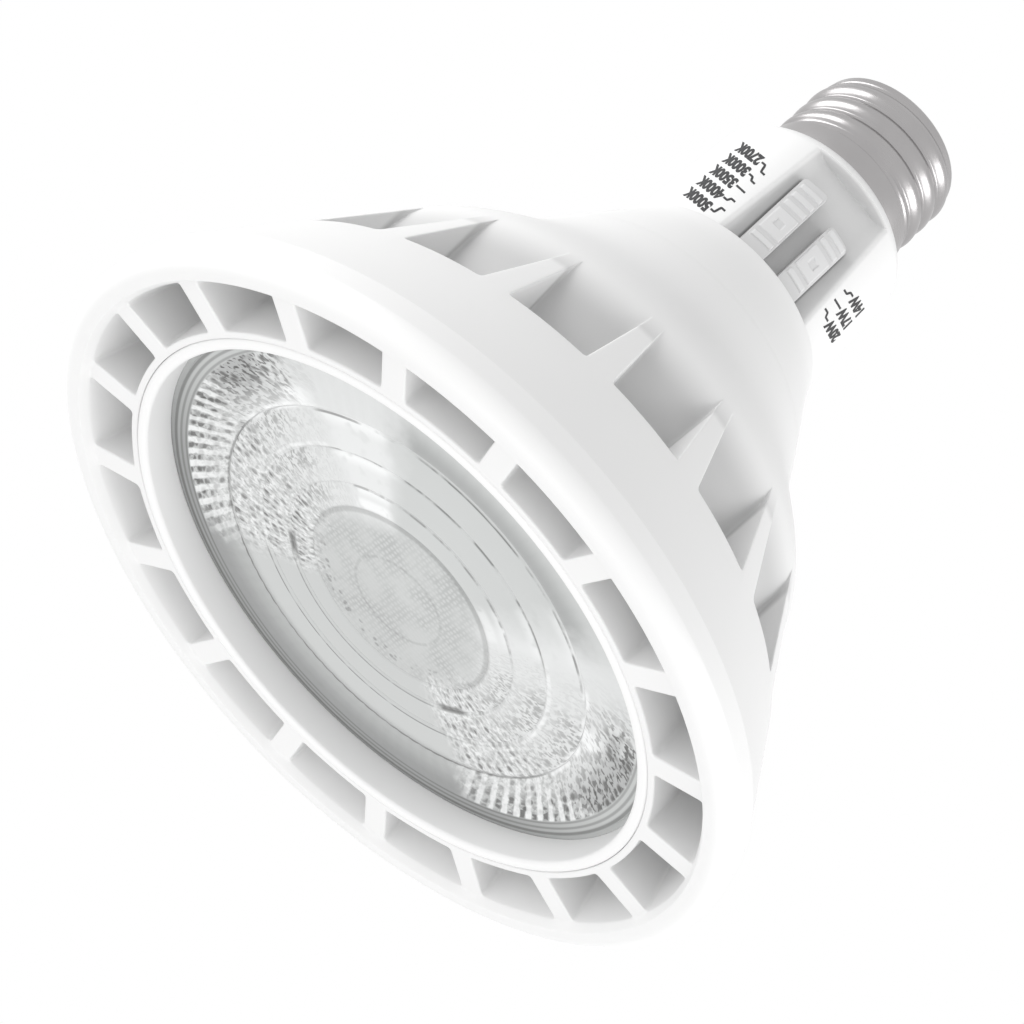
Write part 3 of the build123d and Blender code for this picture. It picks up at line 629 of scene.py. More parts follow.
@dataclass(frozen=True)
class ClearOptic(Finish):
    """Moulded clear optic: smooth ring zones, dark ring grooves and two fans of painted sparkle over the facets, with
    painted glints and painted dark specks.

    A line is given by its radius, its half width and its strength, and a fan
    by the direction that it opens about.
    """

    tint: Colour = (0.6, 0.614, 0.608)
    shade: Colour = (0.52, 0.53, 0.525)
    # Colours of painted light: shadow for painted shade and dark reflections (and the centre's lattice), pale for the
    # painted sheen, glint for painted glints, deep for painted dark specks and the ring lines.
    shadow: Colour = (0.20, 0.203, 0.203)
    pale: Colour = (0.78, 0.79, 0.788)
    deep: Colour = (0.05, 0.05, 0.046)
    glint: Colour = (0.95, 0.96, 0.96)
    gloss: float = 0.16
    ridges: int = 96
    ridge_slant: Pair = (0.085, 0.85)
    lips: tuple[Line, ...] = ((43.0, 0.45, 0.62), (42.0, 0.34, 0.45), (41.05, 0.3, 0.42))
    rings: tuple[Line, ...] = ((32.2, 0.28, 0.66), (26.1, 0.26, 0.6), (20.3, 0.26, 0.5))
    ring_shift: float = 0.5
    hem: Line = (15.7, 0.75, 0.27)
    heart: Line = (7.7, 0.4, 0.16)
    # Radii of the painted glints along the rings.
    arcs: tuple[Line, ...] = ((32.4, 0.8, 0.9), (26.3, 0.6, 0.7))
    edges: tuple[float, ...] = (15.9, 20.1, 25.7, 32.2, 40.7)
    fans: tuple[Pair, ...] = ((0.999, -0.044), (-0.980, 0.199))
    fan_start: Pair = (12.0, 17.0)
    # Radii of the painted dark reflections on the outer zone.
    far_band: Pair = (34.0, 39.5)
    near_band: Pair = (36.2, 3.6)
    # Radius near which the painted bright patches widen.
    sliver: float = 17.2
    lattice: float = 0.85
    pit_size: float = 1.1
    pit_radius: float = 13.5

    def paint(self, net: Net) -> None:
        """Lay the face's patterns over the two tones, from the widest to the finest: painted shade and dark
        reflections, a painted sheen, painted glints and painted dark specks among them.
        """
        face = OpticFace(net, self)
        colour = net.mix(face.tone, self.tint, self.shade)
        colour = net.mix(face.bands().largest(face.weave()), colour, self.shadow)
        colour = net.mix(face.sheen(), colour, self.pale)
        colour = net.mix(face.grey_rows(), colour, self.shadow)
        colour = net.mix(face.glints(), colour, self.glint)
        colour = net.mix(face.dark_sparkle_and_pits(), colour, self.deep)
        colour = net.mix(face.bright_arcs(), colour, self.glint)
        colour = net.mix(face.dark_lines(), colour, self.deep)
        net.surface({
            "Base Color": colour,
            "Roughness": face.tone * 0.12 + face.fan * 0.06 + (self.gloss - 0.04),
            "IOR": 1.49,
            "Transmission Weight": 0.08,
            "Normal": net.bump(face.relief(), 0.15, 0.5),
        })


class OpticFace:
    """Patterns of the radius and the angle on the optic's face.

    Two fans of painted sparkle open about their own directions, with a ragged border: the spread is
    the cosine of the angle from the nearer one. One side of each fan has painted light and radial
    stripes of painted glints, the other painted shade. The ridges slant because they
    lie on a cone behind the face.
    """

    def __init__(self, net: Net, optic: ClearOptic) -> None:
        """Make the fields that several patterns share."""
        self.net, self.optic = net, optic
        self.place = net.position()
        x, y = net.parts(self.place, 2)
        self.radius = radius = (x * x + y * y + 0.01) ** 0.5
        self.side = y / radius
        # Tone: a random drift, plus painted shade from the side term, darker on the +Y half.
        self.tone = net.noise(self.place, 16.0) * 0.3 + self.side * 0.2 + 0.1
        centre, mouth, rim = (optic.edges[zone] for zone in (0, -2, -1))
        self.outer = net.step(mouth - 0.1, mouth + 0.2, radius)
        self.inner = net.step(centre + 0.3, centre - 0.3, radius)
        self.middle = (1.0 - self.outer) * (1.0 - self.inner)
        self.share = self.zone_share()
        self.near_rim = net.step(0.1, 0.75, self.share)
        sunk = (rim - radius) * self.outer
        ahead, aside = (sunk * slant for slant in optic.ridge_slant)
        angle = net.add("ShaderNodeMath", {"operation": "ARCTAN2"}, {0: x + ahead, 1: 0.0 - y - aside})
        self.turn = angle * (optic.ridges / (2 * math.pi))
        self.ridge = (angle * float(optic.ridges)).sine() * 0.5 + 0.5
        self.wander = net.noise(self.unrolled(0.7, 2.4), 1.0, 1.0)
        self.lattice = net.cells(self.place, optic.lattice, 0.3)
        ragged = net.noise(self.place, 3.6)
        fringe = ragged * 0.16 - 0.08
        self.right, left = ((x * across + y * along) / radius for across, along in optic.fans)
        self.spread = self.right.largest(left) + fringe
        self.lit = net.step(-0.07, 0.16, self.side + ragged * 0.2 - 0.1)
        self.shaded = 1.0 - self.lit
        self.bound = net.step(*optic.fan_start, radius + ragged * 4.0 - 2.0) * net.step(rim + 0.2, rim - 0.2, radius)
        # Painted light: the fans of painted sparkle, the halo of painted light round their shaded sides, and the
        # stripes of painted glints.
        self.fan = net.step(0.68, 0.84, self.spread) * self.bound
        self.halo = net.step(0.4, 0.62, (self.right - 0.08).largest(left + 0.12) + fringe) * self.shaded * self.bound
        self.close = net.step(0.85, 0.94, self.spread) * self.shaded
        self.stripe = net.step(0.4, 0.8, self.ridge + self.wander * 0.9 - 0.45) * self.lit
        self.stripe = self.stripe * (self.outer * 0.4 + self.share * 0.6)
        self.dash = self.dashes()

    def zone_share(self) -> Value:
        """Share of the way through a ring zone, from 0 at its inner ring to 1 at its outer one."""
        edges, gap = self.optic.edges, 0.002
        reach = edges[-1] + 1.0
        stops = [(0.0, (0.0,) * 3), (edges[0] / reach, (0.0,) * 3)]
        for inner, outer in zip(edges, edges[1:]):
            stops += [(inner / reach + gap, (0.0,) * 3), (outer / reach - gap, (1.0,) * 3)]
        return self.net.add("ShaderNodeValToRGB", {"stops": stops}, {0: self.radius / reach})

    def unrolled(self, across: float, along: float, start: float = 0.0) -> Value:
        """Vector of the ridges counted round the axis, times across, and the radius over along."""
        return self.net.add("ShaderNodeCombineXYZ", inputs={0: self.turn * across + start, 1: self.radius / along})

    def near(self, radius: Any, far: float, close: float) -> Value:
        """Soft ring about a radius, from 0 at the far distance from it to 1 at the close one."""
        return self.net.step(far, close, (self.radius - radius).size())

    def ring_lines(self, radius: Value, lines: Sequence[Line]) -> Value:
        """The strongest of several lines, each a soft step of the distance from its radius."""
        drawn = [self.net.step(half, half * 0.25, (radius - ring).size()) * strength
                 for ring, half, strength in lines]
        return reduce(Value.largest, drawn)

    def scattered(self, vector: Value, size: float, dot: Pair, kept: Pair) -> Value:
        """Soft dots in Voronoi cells, of which those with a dark colour of their own are left out."""
        net = self.net
        return net.step(*dot, net.cells(vector, size, 0.9)) * net.step(*kept, net.cells(vector, size, 0.9, "Color"))

    def dashes(self) -> Value:
        """Dots over (angle, radius), and a finer noise of them, stronger in the shade."""
        dash = self.scattered(self.unrolled(1.6, 1.5), 1.0, (0.62, 0.22), (0.1, 0.5))
        fine = self.net.noise(self.unrolled(3.4, 0.9), 1.0, 1.5)
        return dash.largest(self.net.step(0.49, 0.61, fine) * (1.0 - self.lit * 0.6))

    def bands(self) -> Value:
        """Painted dark reflections on the outer zone: its far side, and an off-centre ring on the near side."""
        step, side = self.net.step, self.side
        middle, shift = self.optic.near_band
        far = step(-0.1, 0.7, side) * (step(*self.optic.far_band, self.radius) * 0.3 + 0.36)
        ring = self.near(side * shift + middle, 4.6, 0.3) * step(0.2, -0.2, side) * 0.5
        return far.largest(ring) * self.outer * (1.0 - self.fan) * (1.0 - self.halo)

    def weave(self) -> Value:
        """Fine lattice of the centre, stronger in patches."""
        patches = self.net.step(0.3, 0.7, self.net.noise(self.place, 5.0))
        return self.net.step(0.15, 0.55, self.lattice) * self.inner * patches * 0.3 + self.inner * 0.02

    def sheen(self) -> Value:
        """Painted sheen: pale ground of the fans, mottled, with a painted halo of light round their shaded sides."""
        mottle = self.net.step(0.75, 0.3, self.net.noise(self.place, 0.6, 3.0))
        return (self.fan * mottle).largest(self.halo * 0.8)

    def grey_rows(self) -> Value:
        """Shadow next to each zone's outer ring, between the stripes and in the shaded outer zone."""
        shade = self.fan * self.outer * self.near_rim * self.close
        row = self.lit * (1.0 - self.stripe) * self.near_rim
        return shade.largest(self.fan * row * 0.4) * 0.5

    def glints(self) -> Value:
        """Stripes and sparks of the fans' lit sides and bright patches beside the shaded ones."""
        step, side, spread = self.net.step, self.side, self.spread
        spark = step(0.5, 0.64, self.net.noise(self.unrolled(1.3, 1.2, 7.0), 1.0, 1.0)) * self.lit * self.middle * 0.7
        patch = self.outer * step(-0.52, -0.42, side) * step(-0.28, -0.36, side) * step(0.55, 0.2, self.share)
        sliver = step(0.6, 0.95, self.share).largest(self.near(self.optic.sliver, 1.3, 0.4))
        beside = step(0.38, 0.5, spread) * step(0.78, 0.66, spread) * self.middle
        beside = beside * (sliver * 0.65 + 0.3) * (1.0 - step(0.0, 0.3, self.right) * 0.45)
        patch = patch.largest(beside) * self.shaded * self.bound * step(0.25, 0.45, self.wander)
        return (self.fan * self.stripe.largest(spark)).largest(patch) * 0.9

    def dark_sparkle_and_pits(self) -> Value:
        """Painted dark specks of the fans' sparkle, painted shade in blobs between the stripes and in a streak in
        each fan, and pits in the centre.
        """
        step, spread = self.net.step, self.spread
        blob = step(0.42, 0.58, self.net.noise(self.unrolled(0.9, 1.4), 1.0, 1.0)) * step(0.55, 0.15, self.ridge)
        blob = blob * self.lit * self.outer * self.near_rim * 0.9
        lean = (self.close * 0.7 + 0.2).largest(step(0.76, 0.88, spread) * self.outer)
        weight = (self.near_rim * 0.3 + 0.7) * self.lit
        weight = weight + (self.near_rim * 0.6 + 0.35) * lean * (self.outer * 0.3 + 0.7) * self.shaded
        # Painted dark specks of the fans' sparkle.
        dark = self.fan * (self.dash * weight).largest(blob) * (1.0 - self.stripe * 0.8) * (self.outer * 0.1 + 0.8)
        # Painted shade: a dark streak beside the ring at 20.1 mm, at each fan's lit border.
        streak = self.near(self.optic.edges[1] - 0.2, 1.0, 0.3) * self.lit * self.bound
        streak = streak * step(0.76, 0.82, spread) * step(0.95, 0.9, spread)
        pit = self.scattered(self.place, self.optic.pit_size, (0.5, 0.25), (0.15, 0.4))
        pit = pit * self.near(self.optic.pit_radius, 1.3, 0.6) * step(0.2, 0.5, self.side)
        return dark.largest(streak * 0.75).largest(pit * 0.42)

    def bright_arcs(self) -> Value:
        """Broken painted glints: pale arcs along the rings in the fans' shaded sides."""
        arcs = self.ring_lines(self.radius, self.optic.arcs)
        return arcs * self.fan * self.shaded * self.net.step(0.35, 0.6, self.wander)

    def dark_lines(self) -> Value:
        """Ring grooves, fainter in the fans and broken by noise, the centre's rings and the whole lips."""
        step, side, optic = self.net.step, self.side, self.optic
        shifted = self.radius - side * optic.ring_shift
        first = self.ring_lines(shifted, optic.rings[:1]) * (1.0 - self.fan * (1.0 - self.lit * 0.7))
        others = self.ring_lines(shifted, optic.rings[1:]) * (1.0 - self.fan * 0.8)
        broken = self.net.noise(self.unrolled(0.8, 20.0), 1.0, 1.0)
        dotted = self.net.noise(self.unrolled(0.4, 10.0 / 3.0), 1.0, 3.0)
        towards = step(0.1, -0.3, side)
        whole = step(0.15, 0.5, broken) * (1.0 - towards) + step(0.4, 0.58, dotted) * towards
        lines = (first.largest(others) * whole).largest(self.ring_lines(self.radius, optic.lips))
        lines = lines.largest(self.ring_lines(self.radius, [optic.hem]) * step(0.35, 0.0, side))
        return lines.largest(self.ring_lines(self.radius, [optic.heart]) * step(0.3, 0.5, broken))

    def relief(self) -> Value:
        """Height of the dashes, the outer ridges and the centre's lattice."""
        return (self.dash + self.ridge * self.outer) * self.fan * 0.5 + self.lattice * self.inner * 0.5


@dataclass(frozen=True)
class Phosphor(Finish):
    """Yellow phosphor gel in the packages' windows."""

    gel: Colour = (0.83, 0.66, 0.14)
    rim: Colour = (0.85, 0.84, 0.78)

    def paint(self, net: Net) -> None:
        """Grainy gel, paler where the grains thin out."""
        place = net.position()
        grains = net.noise(place, 0.5, 3.0)
        net.surface({
            "Base Color": net.mix(grains * 0.5, self.gel, self.rim),
            "Roughness": grains * 0.2 + 0.2,
            "Normal": net.bump(grains, 0.01, 0.5),
        })


@dataclass(frozen=True)
class PrintInk(Finish):
    """Pad-printed ink that lets a little of the ground through."""

    ink: Colour = (0.015, 0.015, 0.017)
    thin: Colour = (0.06, 0.06, 0.062)

    def paint(self, net: Net) -> None:
        """Noise thins the ink in small specks."""
        specks = net.noise(net.position(), 0.3, 3.0)
        net.surface({
            "Base Color": net.mix(specks * 0.6, self.ink, self.thin),
            "Roughness": specks * 0.2 + 0.45,
            "Normal": net.bump(specks, 0.004, 0.4),
        })


WHITE_TONES = ((0.82, 0.82, 0.817), (0.79, 0.79, 0.79))
WHITE_GRAIN = (0.42, 0.3, 0.012)
# Lighter copy of the white plastic for the front ring: painted light on the ring's inner wall.
LIT_RING_PLASTIC = Moulding("white_plastic", (0.86, 0.86, 0.857), (0.83, 0.83, 0.83), *WHITE_GRAIN)
HOUSING_PLASTIC = HousingMoulding("housing_plastic", *WHITE_TONES, *WHITE_GRAIN)
NECK_PLASTIC = NeckMoulding("neck_plastic", *WHITE_TONES, *WHITE_GRAIN)
SELECTOR_PLASTIC = SelectorMoulding("selector_plastic", (0.70, 0.70, 0.70), (0.67, 0.67, 0.675), 0.45, 0.25, 0.012)
NICKEL = PlatedMetal("nickel_plate", (0.43, 0.42, 0.42), (0.36, 0.35, 0.352), 0.30)
STEEL = PlatedMetal("plated_steel", (0.58, 0.58, 0.6), (0.46, 0.46, 0.48), 0.34)
TINNED = PlatedMetal("tinned_metal", (0.66, 0.66, 0.66), (0.54, 0.54, 0.55), 0.4)
SOLDER_BRASS = PlatedMetal("solder_brass", (0.60, 0.56, 0.47), (0.48, 0.45, 0.39), 0.34, 0.3, 0.01)
COPPER_WIRE = PlatedMetal("enamelled_copper", (0.62, 0.27, 0.11), (0.5, 0.2, 0.08), 0.3)
SPUN_ALUMINIUM = SpunMetal("spun_aluminium")
BLACK_GLASS = Moulding("vitrite", (0.022, 0.021, 0.022), (0.035, 0.033, 0.033), 0.2, 0.8, 0.02, 0.2)
BLACK_MOULDING = Moulding("black_moulding", (0.025, 0.025, 0.026), (0.04, 0.04, 0.042), 0.45)
SEAL = Moulding("seal_silicone", (0.62, 0.63, 0.63), (0.54, 0.55, 0.55), 0.6, 0.5)
BOARD_GREEN = CircuitBoard("board_green")
BOARD_WHITE = CircuitBoard("board_white", (0.8, 0.8, 0.79), (0.7, 0.71, 0.7), 4.0)
FERRITE = Speckled("ferrite")
COIL_TAPE = Banded("coil_tape")
CAN_SLEEVE = Banded("can_sleeve", (0.03, 0.035, 0.06), (0.05, 0.055, 0.09), 9.0, 0.3)
RESISTOR_COAT = Banded("resistor_coat", (0.25, 0.4, 0.52), (0.2, 0.34, 0.46), 3.0, 0.45)
FILM_BOX = Moulding("film_box", (0.62, 0.5, 0.06), (0.54, 0.43, 0.05), 0.4)
VARISTOR_COAT = Moulding("varistor_coat", (0.06, 0.16, 0.42), (0.05, 0.13, 0.35), 0.35, 0.6)
WIRE_WHITE = Moulding("wire_white", (0.76, 0.76, 0.74), (0.7, 0.7, 0.68), 0.4)
WIRE_BLACK = Moulding("wire_black", (0.03, 0.03, 0.03), (0.045, 0.045, 0.045), 0.4)
WIRE_RED = Moulding("wire_red", (0.5, 0.03, 0.025), (0.42, 0.025, 0.02), 0.4)
PHOSPHOR = Phosphor("phosphor")
OPTIC = ClearOptic("clear_optic")
INK = PrintInk("print_ink")


# ---------------------------------------------------------------- pieces in Blender

def add_piece(name: str, shape: Shape, finish: Finish, nodes: Sequence[str] = (),
              body: str = LAMP, crease: float = 50.0) -> None:
    """Put a shape into the scene as a finished piece, with its faces pointing outwards.

    Args:
        name: Name of the piece.
        shape: Its surface in millimetres.
        finish: Its finish.
        nodes: CAD nodes that it replaces.
        body: CAD body that it moves with.
        crease: Angle in degrees above which an edge stays sharp.
    """
    shape = shape.welded()
    mesh = bpy.data.meshes.new(name)
    mesh.from_pydata((shape.points * MM).tolist(), [], shape.quads.tolist() + shape.triangles.tolist())
    work = bmesh.new()
    work.from_mesh(mesh)
    bmesh.ops.recalc_face_normals(work, faces=work.faces)
    work.to_mesh(mesh)
    work.free()
    mesh.polygons.foreach_set("use_smooth", np.ones(len(mesh.polygons), bool))
    mesh.set_sharp_from_angle(angle=math.radians(crease))
    mesh.materials.append(finish.material())
    piece = bpy.data.objects.new(name, mesh)
    bpy.context.scene.collection.objects.link(piece)
    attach(piece, body)
    if nodes:
        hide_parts(*nodes)
    log.info("%s: %d points, %d faces", name, len(mesh.vertices), len(mesh.polygons))


@dataclass
class VentedHousing:
    """White moulding: rolled rim, conical band, ribs with vents between them, cup and bell."""

    rib_count: int = 18
    land: Pair = (56.2, 57.5)
    rim_radius: float = 60.3
    rim_roll: float = 2.8
    overhang: float = 1.29
    taper: float = 0.5367
    band_top: float = 21.6
    band_wall: float = 1.9
    window: Pair = (47.2, 55.3)
    setback: float = 1.2
    rib_tip: float = 40.1
    rib_widths: Triple = (4.0, 4.8, 2.3)
    cup_straight: float = 10.0
    cup_waist: float = 43.2
    bore: float = 46.1
    wall: float = 2.3
    lip: Pair = (19.2, 75.5)
    lip_bore: float = 17.5
    lip_bottom: float = 70.5
    corner: float = 0.7
    edge: float = 0.3
    fan: float = 41.6
    front_margin: float = 0.25
    land_margin: float = 0.3
    rim_crease: float = 6.5
    rim_crease_run: float = 0.7
    bell_step: float = 62.2
    bell_step_height: float = 0.1
    bell_steps: int = 600
    shoulder: Pair = (-3.1, 4.7)
    waist_draw: float = 1.25
    crown: Pair = (6.8, -13.5)
    throat: Pair = (3.6, -7.5)
    lens_seat: Pair = (43.0, 8.6)
    sink_bore: Pair = (40.5, 28.0)
    sink_ledge: Pair = (37.9, 30.3)
    inside_start: float = 31.0
    boss: Pair = (1.65, 3.2)
    boss_heights: Triple = (28.0, 35.0, 39.2)
    boss_place: float = 35.4
    boss_angles: Triple = (30.0, 150.0, 270.0)
    spans: tuple[int, int, int, int] = (8, 6, 12, 8)

    def __post_init__(self) -> None:
        """Work out the bell's line and the shares along the sides of a vent."""
        tip, lip = np.array([self.cone(np.array(self.rib_tip)), self.rib_tip]), np.array(self.lip)
        crown, shoulder = lip + self.crown, tip + self.shoulder
        waist = (shoulder + crown) / 2 - np.array([self.waist_draw, 0.0])
        knots = np.array([(self.cup_waist, self.band_top), tip, shoulder, waist, crown, lip + self.throat, lip])
        self.bell = clamped_spline(knots, np.array([-0.05, 1.0]), np.array([-0.3, 1.0]), self.bell_steps)
        z = self.bell[:, 1]
        step = smooth_step(self.bell_step - 6.0, self.bell_step, z) * (
            1 - smooth_step(self.bell_step, self.bell_step + 1.0, z))
        self.bell[:, 0] += self.bell_step_height * step
        self.half = math.pi / self.rib_count
        cup, turn, flank, band = self.spans
        self.cup_share = np.linspace(0.0, 1.0, cup + 1)
        self.turn_share = np.linspace(0.0, 1.0, turn + 1)
        self.flank_share = np.linspace(0.0, 1.0, flank + 1)[1:-1]
        self.band_share = np.linspace(0.0, 1.0, band + 1)[1:]

    def cone(self, z: Array) -> Array:
        """Radius of the band's cone, which the ribs' backs follow too."""
        return self.rim_radius + self.overhang - self.taper * (z - self.rim_roll)

    def bell_radius(self, z: Array) -> Array:
        """Radius of the cup and bell at a height."""
        low_z = np.array([self.setback, self.cup_straight, self.band_top])
        low_r = np.array([self.window[0], self.window[0], self.cup_waist])
        return np.where(z < self.band_top, np.interp(z, low_z, low_r),
                        np.interp(z, self.bell[:, 1], self.bell[:, 0]))

    def back_radius(self, z: Array) -> Array:
        """Radius of the outside seen from behind: the cone up to the ribs' tips, then the bell."""
        return np.where(z <= self.rib_tip, self.cone(z), self.bell_radius(z))

    def band_bore(self, z: Array) -> Array:
        """Radius of the band's inner wall, straight from the window to the band's back edge."""
        inner = self.cone(np.array(self.band_top)) - self.band_wall
        return np.interp(z, [self.setback, self.band_top], [self.window[1], inner])

    def rib_half(self, z: Array) -> Array:
        """Half of a rib's width, linear between its spoke, its middle and its tip."""
        return np.interp(z, [self.setback, self.band_top, self.rib_tip], np.array(self.rib_widths) / 2)

    def vent(self, level: Array) -> Array:
        """Half outlines of a vent, from its cup side over a rib's flank to its band side.

        The cup side and the band side are arcs at the heights that the level
        picks on the cup and on the band, the flank is the straight line between
        them at half a rib's width from the rib's middle plane, and a parabola
        rounds each corner.

        Args:
            level: Shares from the front (0) to the back (1).

        Returns:
            Points with the axes level, station, coordinate.
        """
        level = np.asarray(level, float)[:, None]
        z_in = self.setback + level * (self.rib_tip - self.setback)
        z_out = self.setback + level * (self.band_top - self.setback)
        r_in, r_out = self.bell_radius(z_in), self.band_bore(z_out)
        w_in, w_out = self.rib_half(z_in), self.rib_half(z_out)
        end_in, end_out = self.half - np.arcsin(w_in / r_in), self.half - np.arcsin(w_out / r_out)
        line_in, line_out = np.sqrt(r_in ** 2 - w_in ** 2), np.sqrt(r_out ** 2 - w_out ** 2)
        turn = self.corner / np.hypot(line_out - line_in, z_out - z_in)
        along = np.array([math.cos(self.half), math.sin(self.half), 0.0])
        across = np.array([-math.sin(self.half), math.cos(self.half), 0.0])

        def flank(share: Array) -> Array:
            """Points on the rib's flank at shares from the cup to the band."""
            z = z_in + share * (z_out - z_in)
            reach = line_in + share * (line_out - line_in)
            up = z[..., None] * np.array([0.0, 0.0, 1.0])
            return reach[..., None] * along + up - self.rib_half(z)[..., None] * across

        t = self.turn_share[None, :, None]
        start_in, start_out = end_in - self.corner / r_in, end_out - self.corner / r_out
        return np.concatenate([
            polar(r_in, self.cup_share * start_in, z_in),
            bezier(polar(r_in, start_in, z_in), polar(r_in, end_in, z_in), flank(turn), t[:, 1:]),
            flank(turn + (1 - 2 * turn) * self.flank_share),
            bezier(flank(1 - turn), polar(r_out, end_out, z_out), polar(r_out, start_out, z_out), t),
            polar(r_out, (1 - self.band_share) * start_out, z_out),
        ], axis=1)

    def back_edge(self) -> Array:
        """Half outline of the vent's mouth on the back, as (angle, height) at the vent's stations."""
        tip, top = self.rib_tip, self.band_top
        radius = self.cone(np.array([tip, top]))
        turn = self.corner / math.hypot(radius[1] - radius[0], tip - top)

        def flank(share: Array) -> Array:
            """Points on the rib's back edge at shares from its tip to the band."""
            z = tip + np.asarray(share) * (top - tip)
            return stacked(self.half - np.arcsin(self.rib_half(z) / self.cone(z)), z)

        end_in, end_out = flank(0.0)[0], flank(1.0)[0]
        start_in, start_out = end_in - self.corner / radius[0], end_out - self.corner / radius[1]
        t = self.turn_share[:, None]
        return np.concatenate([
            stacked(self.cup_share * start_in, tip),
            bezier(np.array([start_in, tip]), np.array([end_in, tip]), flank(turn), t[1:]),
            flank(turn + (1 - 2 * turn) * self.flank_share),
            bezier(flank(1 - turn), np.array([end_out, top]), np.array([start_out, top]), t),
            stacked((1 - self.band_share) * start_out, top),
        ])

    def sector_border(self, inner: float, outer: float, flank: Array) -> Array:
        """Half border of one sector, at the vent's stations.

        Args:
            inner: Radius or height of the border on the cup side.
            outer: The same on the band side.
            flank: The same at the flank's stations, along the rib's middle line.

        Returns:
            (angle, radius or height) of each station.
        """
        middle = len(self.turn_share) // 2
        up = np.linspace(0.0, 1.0, middle + 1)
        start = 0.8 * self.half
        to_rib = start + (self.half - start) * up
        cup = np.concatenate([self.cup_share * start, to_rib[1:]])
        band = np.concatenate([to_rib[::-1][1:], (1 - self.band_share) * start])
        first = inner + (flank[0] - inner) * up[1:]
        last = flank[-1] + (outer - flank[-1]) * up
        angle = np.concatenate([cup, np.full(len(first) + len(flank) - 2 + len(last), self.half), band])
        place = np.concatenate([np.full(len(cup), inner), first, flank[1:-1], last, np.full(len(band), outer)])
        return stacked(angle, place)

    def inset(self, start: Array, border: Array, start_point: Array, border_point: Array) -> Array:
        """Places an edge's width from a line towards a border, or six tenths of the way where that is less."""
        reach = np.linalg.norm(border_point - start_point, axis=-1, keepdims=True)
        return start + (border - start) * np.minimum(self.edge / reach, 0.6)

    def channel(self) -> Shape:
        """One vent with its share of the front sheet and of the back.

        The rows run from the border on the front sheet round the window's edge,
        through the vent, round the back edge and over the cone to the border on
        the back. Parabolas round the edges.

        Returns:
            A surface that is open along its two borders.
        """
        levels = np.concatenate([[0.012], np.linspace(0.05, 0.93, 10), [0.98]])
        edge = self.vent(np.array([0.0, 1.0]))
        tube = self.vent(levels)
        turns, flanks = len(self.turn_share) - 1, len(self.flank_share)
        first = len(self.cup_share) + turns - 1
        side = slice(first, first + flanks + 2)

        def front(place: Array) -> Array:
            """Points of the front sheet, flat to the window and bevelled up to the land."""
            drop = np.clip((place[:, 1] - self.window[1]) / (self.land[0] - self.window[1]), 0.0, 1.0)
            return polar(place[:, 1], place[:, 0], self.setback * (1 - drop))

        def back(place: Array) -> Array:
            """Points of the outside at (angle, height)."""
            return polar(self.back_radius(place[:, 1]), place[:, 0], place[:, 1])

        spoke = np.hypot(edge[0, side, 0], edge[0, side, 1])
        front_border = self.sector_border(self.bore + self.front_margin, self.window[1] + self.land_margin, spoke)
        front_edge = stacked(np.arctan2(edge[0, :, 1], edge[0, :, 0]), np.hypot(edge[0, :, 0], edge[0, :, 1]))
        front_near = self.inset(front_edge, front_border, edge[0], front(front_border))
        back_edge = self.back_edge()
        back_border = self.sector_border(self.fan, self.rim_end()[1], back_edge[side, 1])
        mouth = back(back_edge)
        back_near = self.inset(back_edge, back_border, mouth, back(back_border))
        strip = np.linalg.norm(mouth - edge[1], axis=-1, keepdims=True)
        narrow = np.clip(strip, 0.0, 1.0)
        toward = unit(mouth - tube[-1] + (tube[-1] - edge[1]) * narrow)
        before = mouth - self.edge * toward
        bend = (tube[-1] + before) / 2 * (1 - narrow) + edge[1] * narrow
        steps = (0.25, 0.5, 0.75)
        rows = [front(front_border), front((front_border + front_near) / 2), front(front_near)]
        rows += [bezier(front(front_near), edge[0], tube[0], t) for t in steps]
        rows += list(tube)
        rows += [bezier(tube[-1], bend, before, t) for t in steps]
        rows += [before] + [bezier(before, mouth, back(back_near), t) for t in steps]
        rows += [back(back_near), back((back_near * 2 + back_border) / 3), back((back_near + back_border * 2) / 3),
                 back(back_border)]
        right = np.stack(rows)
        left = right[:, -2:0:-1] * np.array([1.0, -1.0, 1.0])
        return Shape.sheet(np.concatenate([right, left], axis=1), close_columns=True)

    def rim_end(self) -> Array:
        """Point (radius, height) where the rim's steep back face runs into the cone."""
        end = self.rim_crease + self.rim_crease_run
        return np.array([float(self.cone(np.array(end))), end])

    def rim_line(self) -> Array:
        """Profile from the front border over the land, the roll and the steep back face to the back border."""
        front = np.linspace(-math.pi / 2, 0.0, 9)[:, None]
        crease = float(self.cone(np.array(self.rim_crease)))
        back = rounded_line([(self.rim_radius, self.rim_roll), (self.rim_radius, self.rim_roll + 0.4, 1.5),
                             (crease, self.rim_crease, 0.4), tuple(self.rim_end())], 4)[1:]
        bevel = self.land_margin / (self.land[0] - self.window[1])
        land = rounded_line([(self.window[1] + self.land_margin, self.setback * (1 - bevel)),
                             (self.land[0], 0.0, 0.3), (self.land[1] - 0.2, 0.0)])
        return np.concatenate([
            land,
            np.hstack([self.land[1] + self.rim_roll * np.cos(front), self.rim_roll * (1 + np.sin(front))]),
            back,
        ])

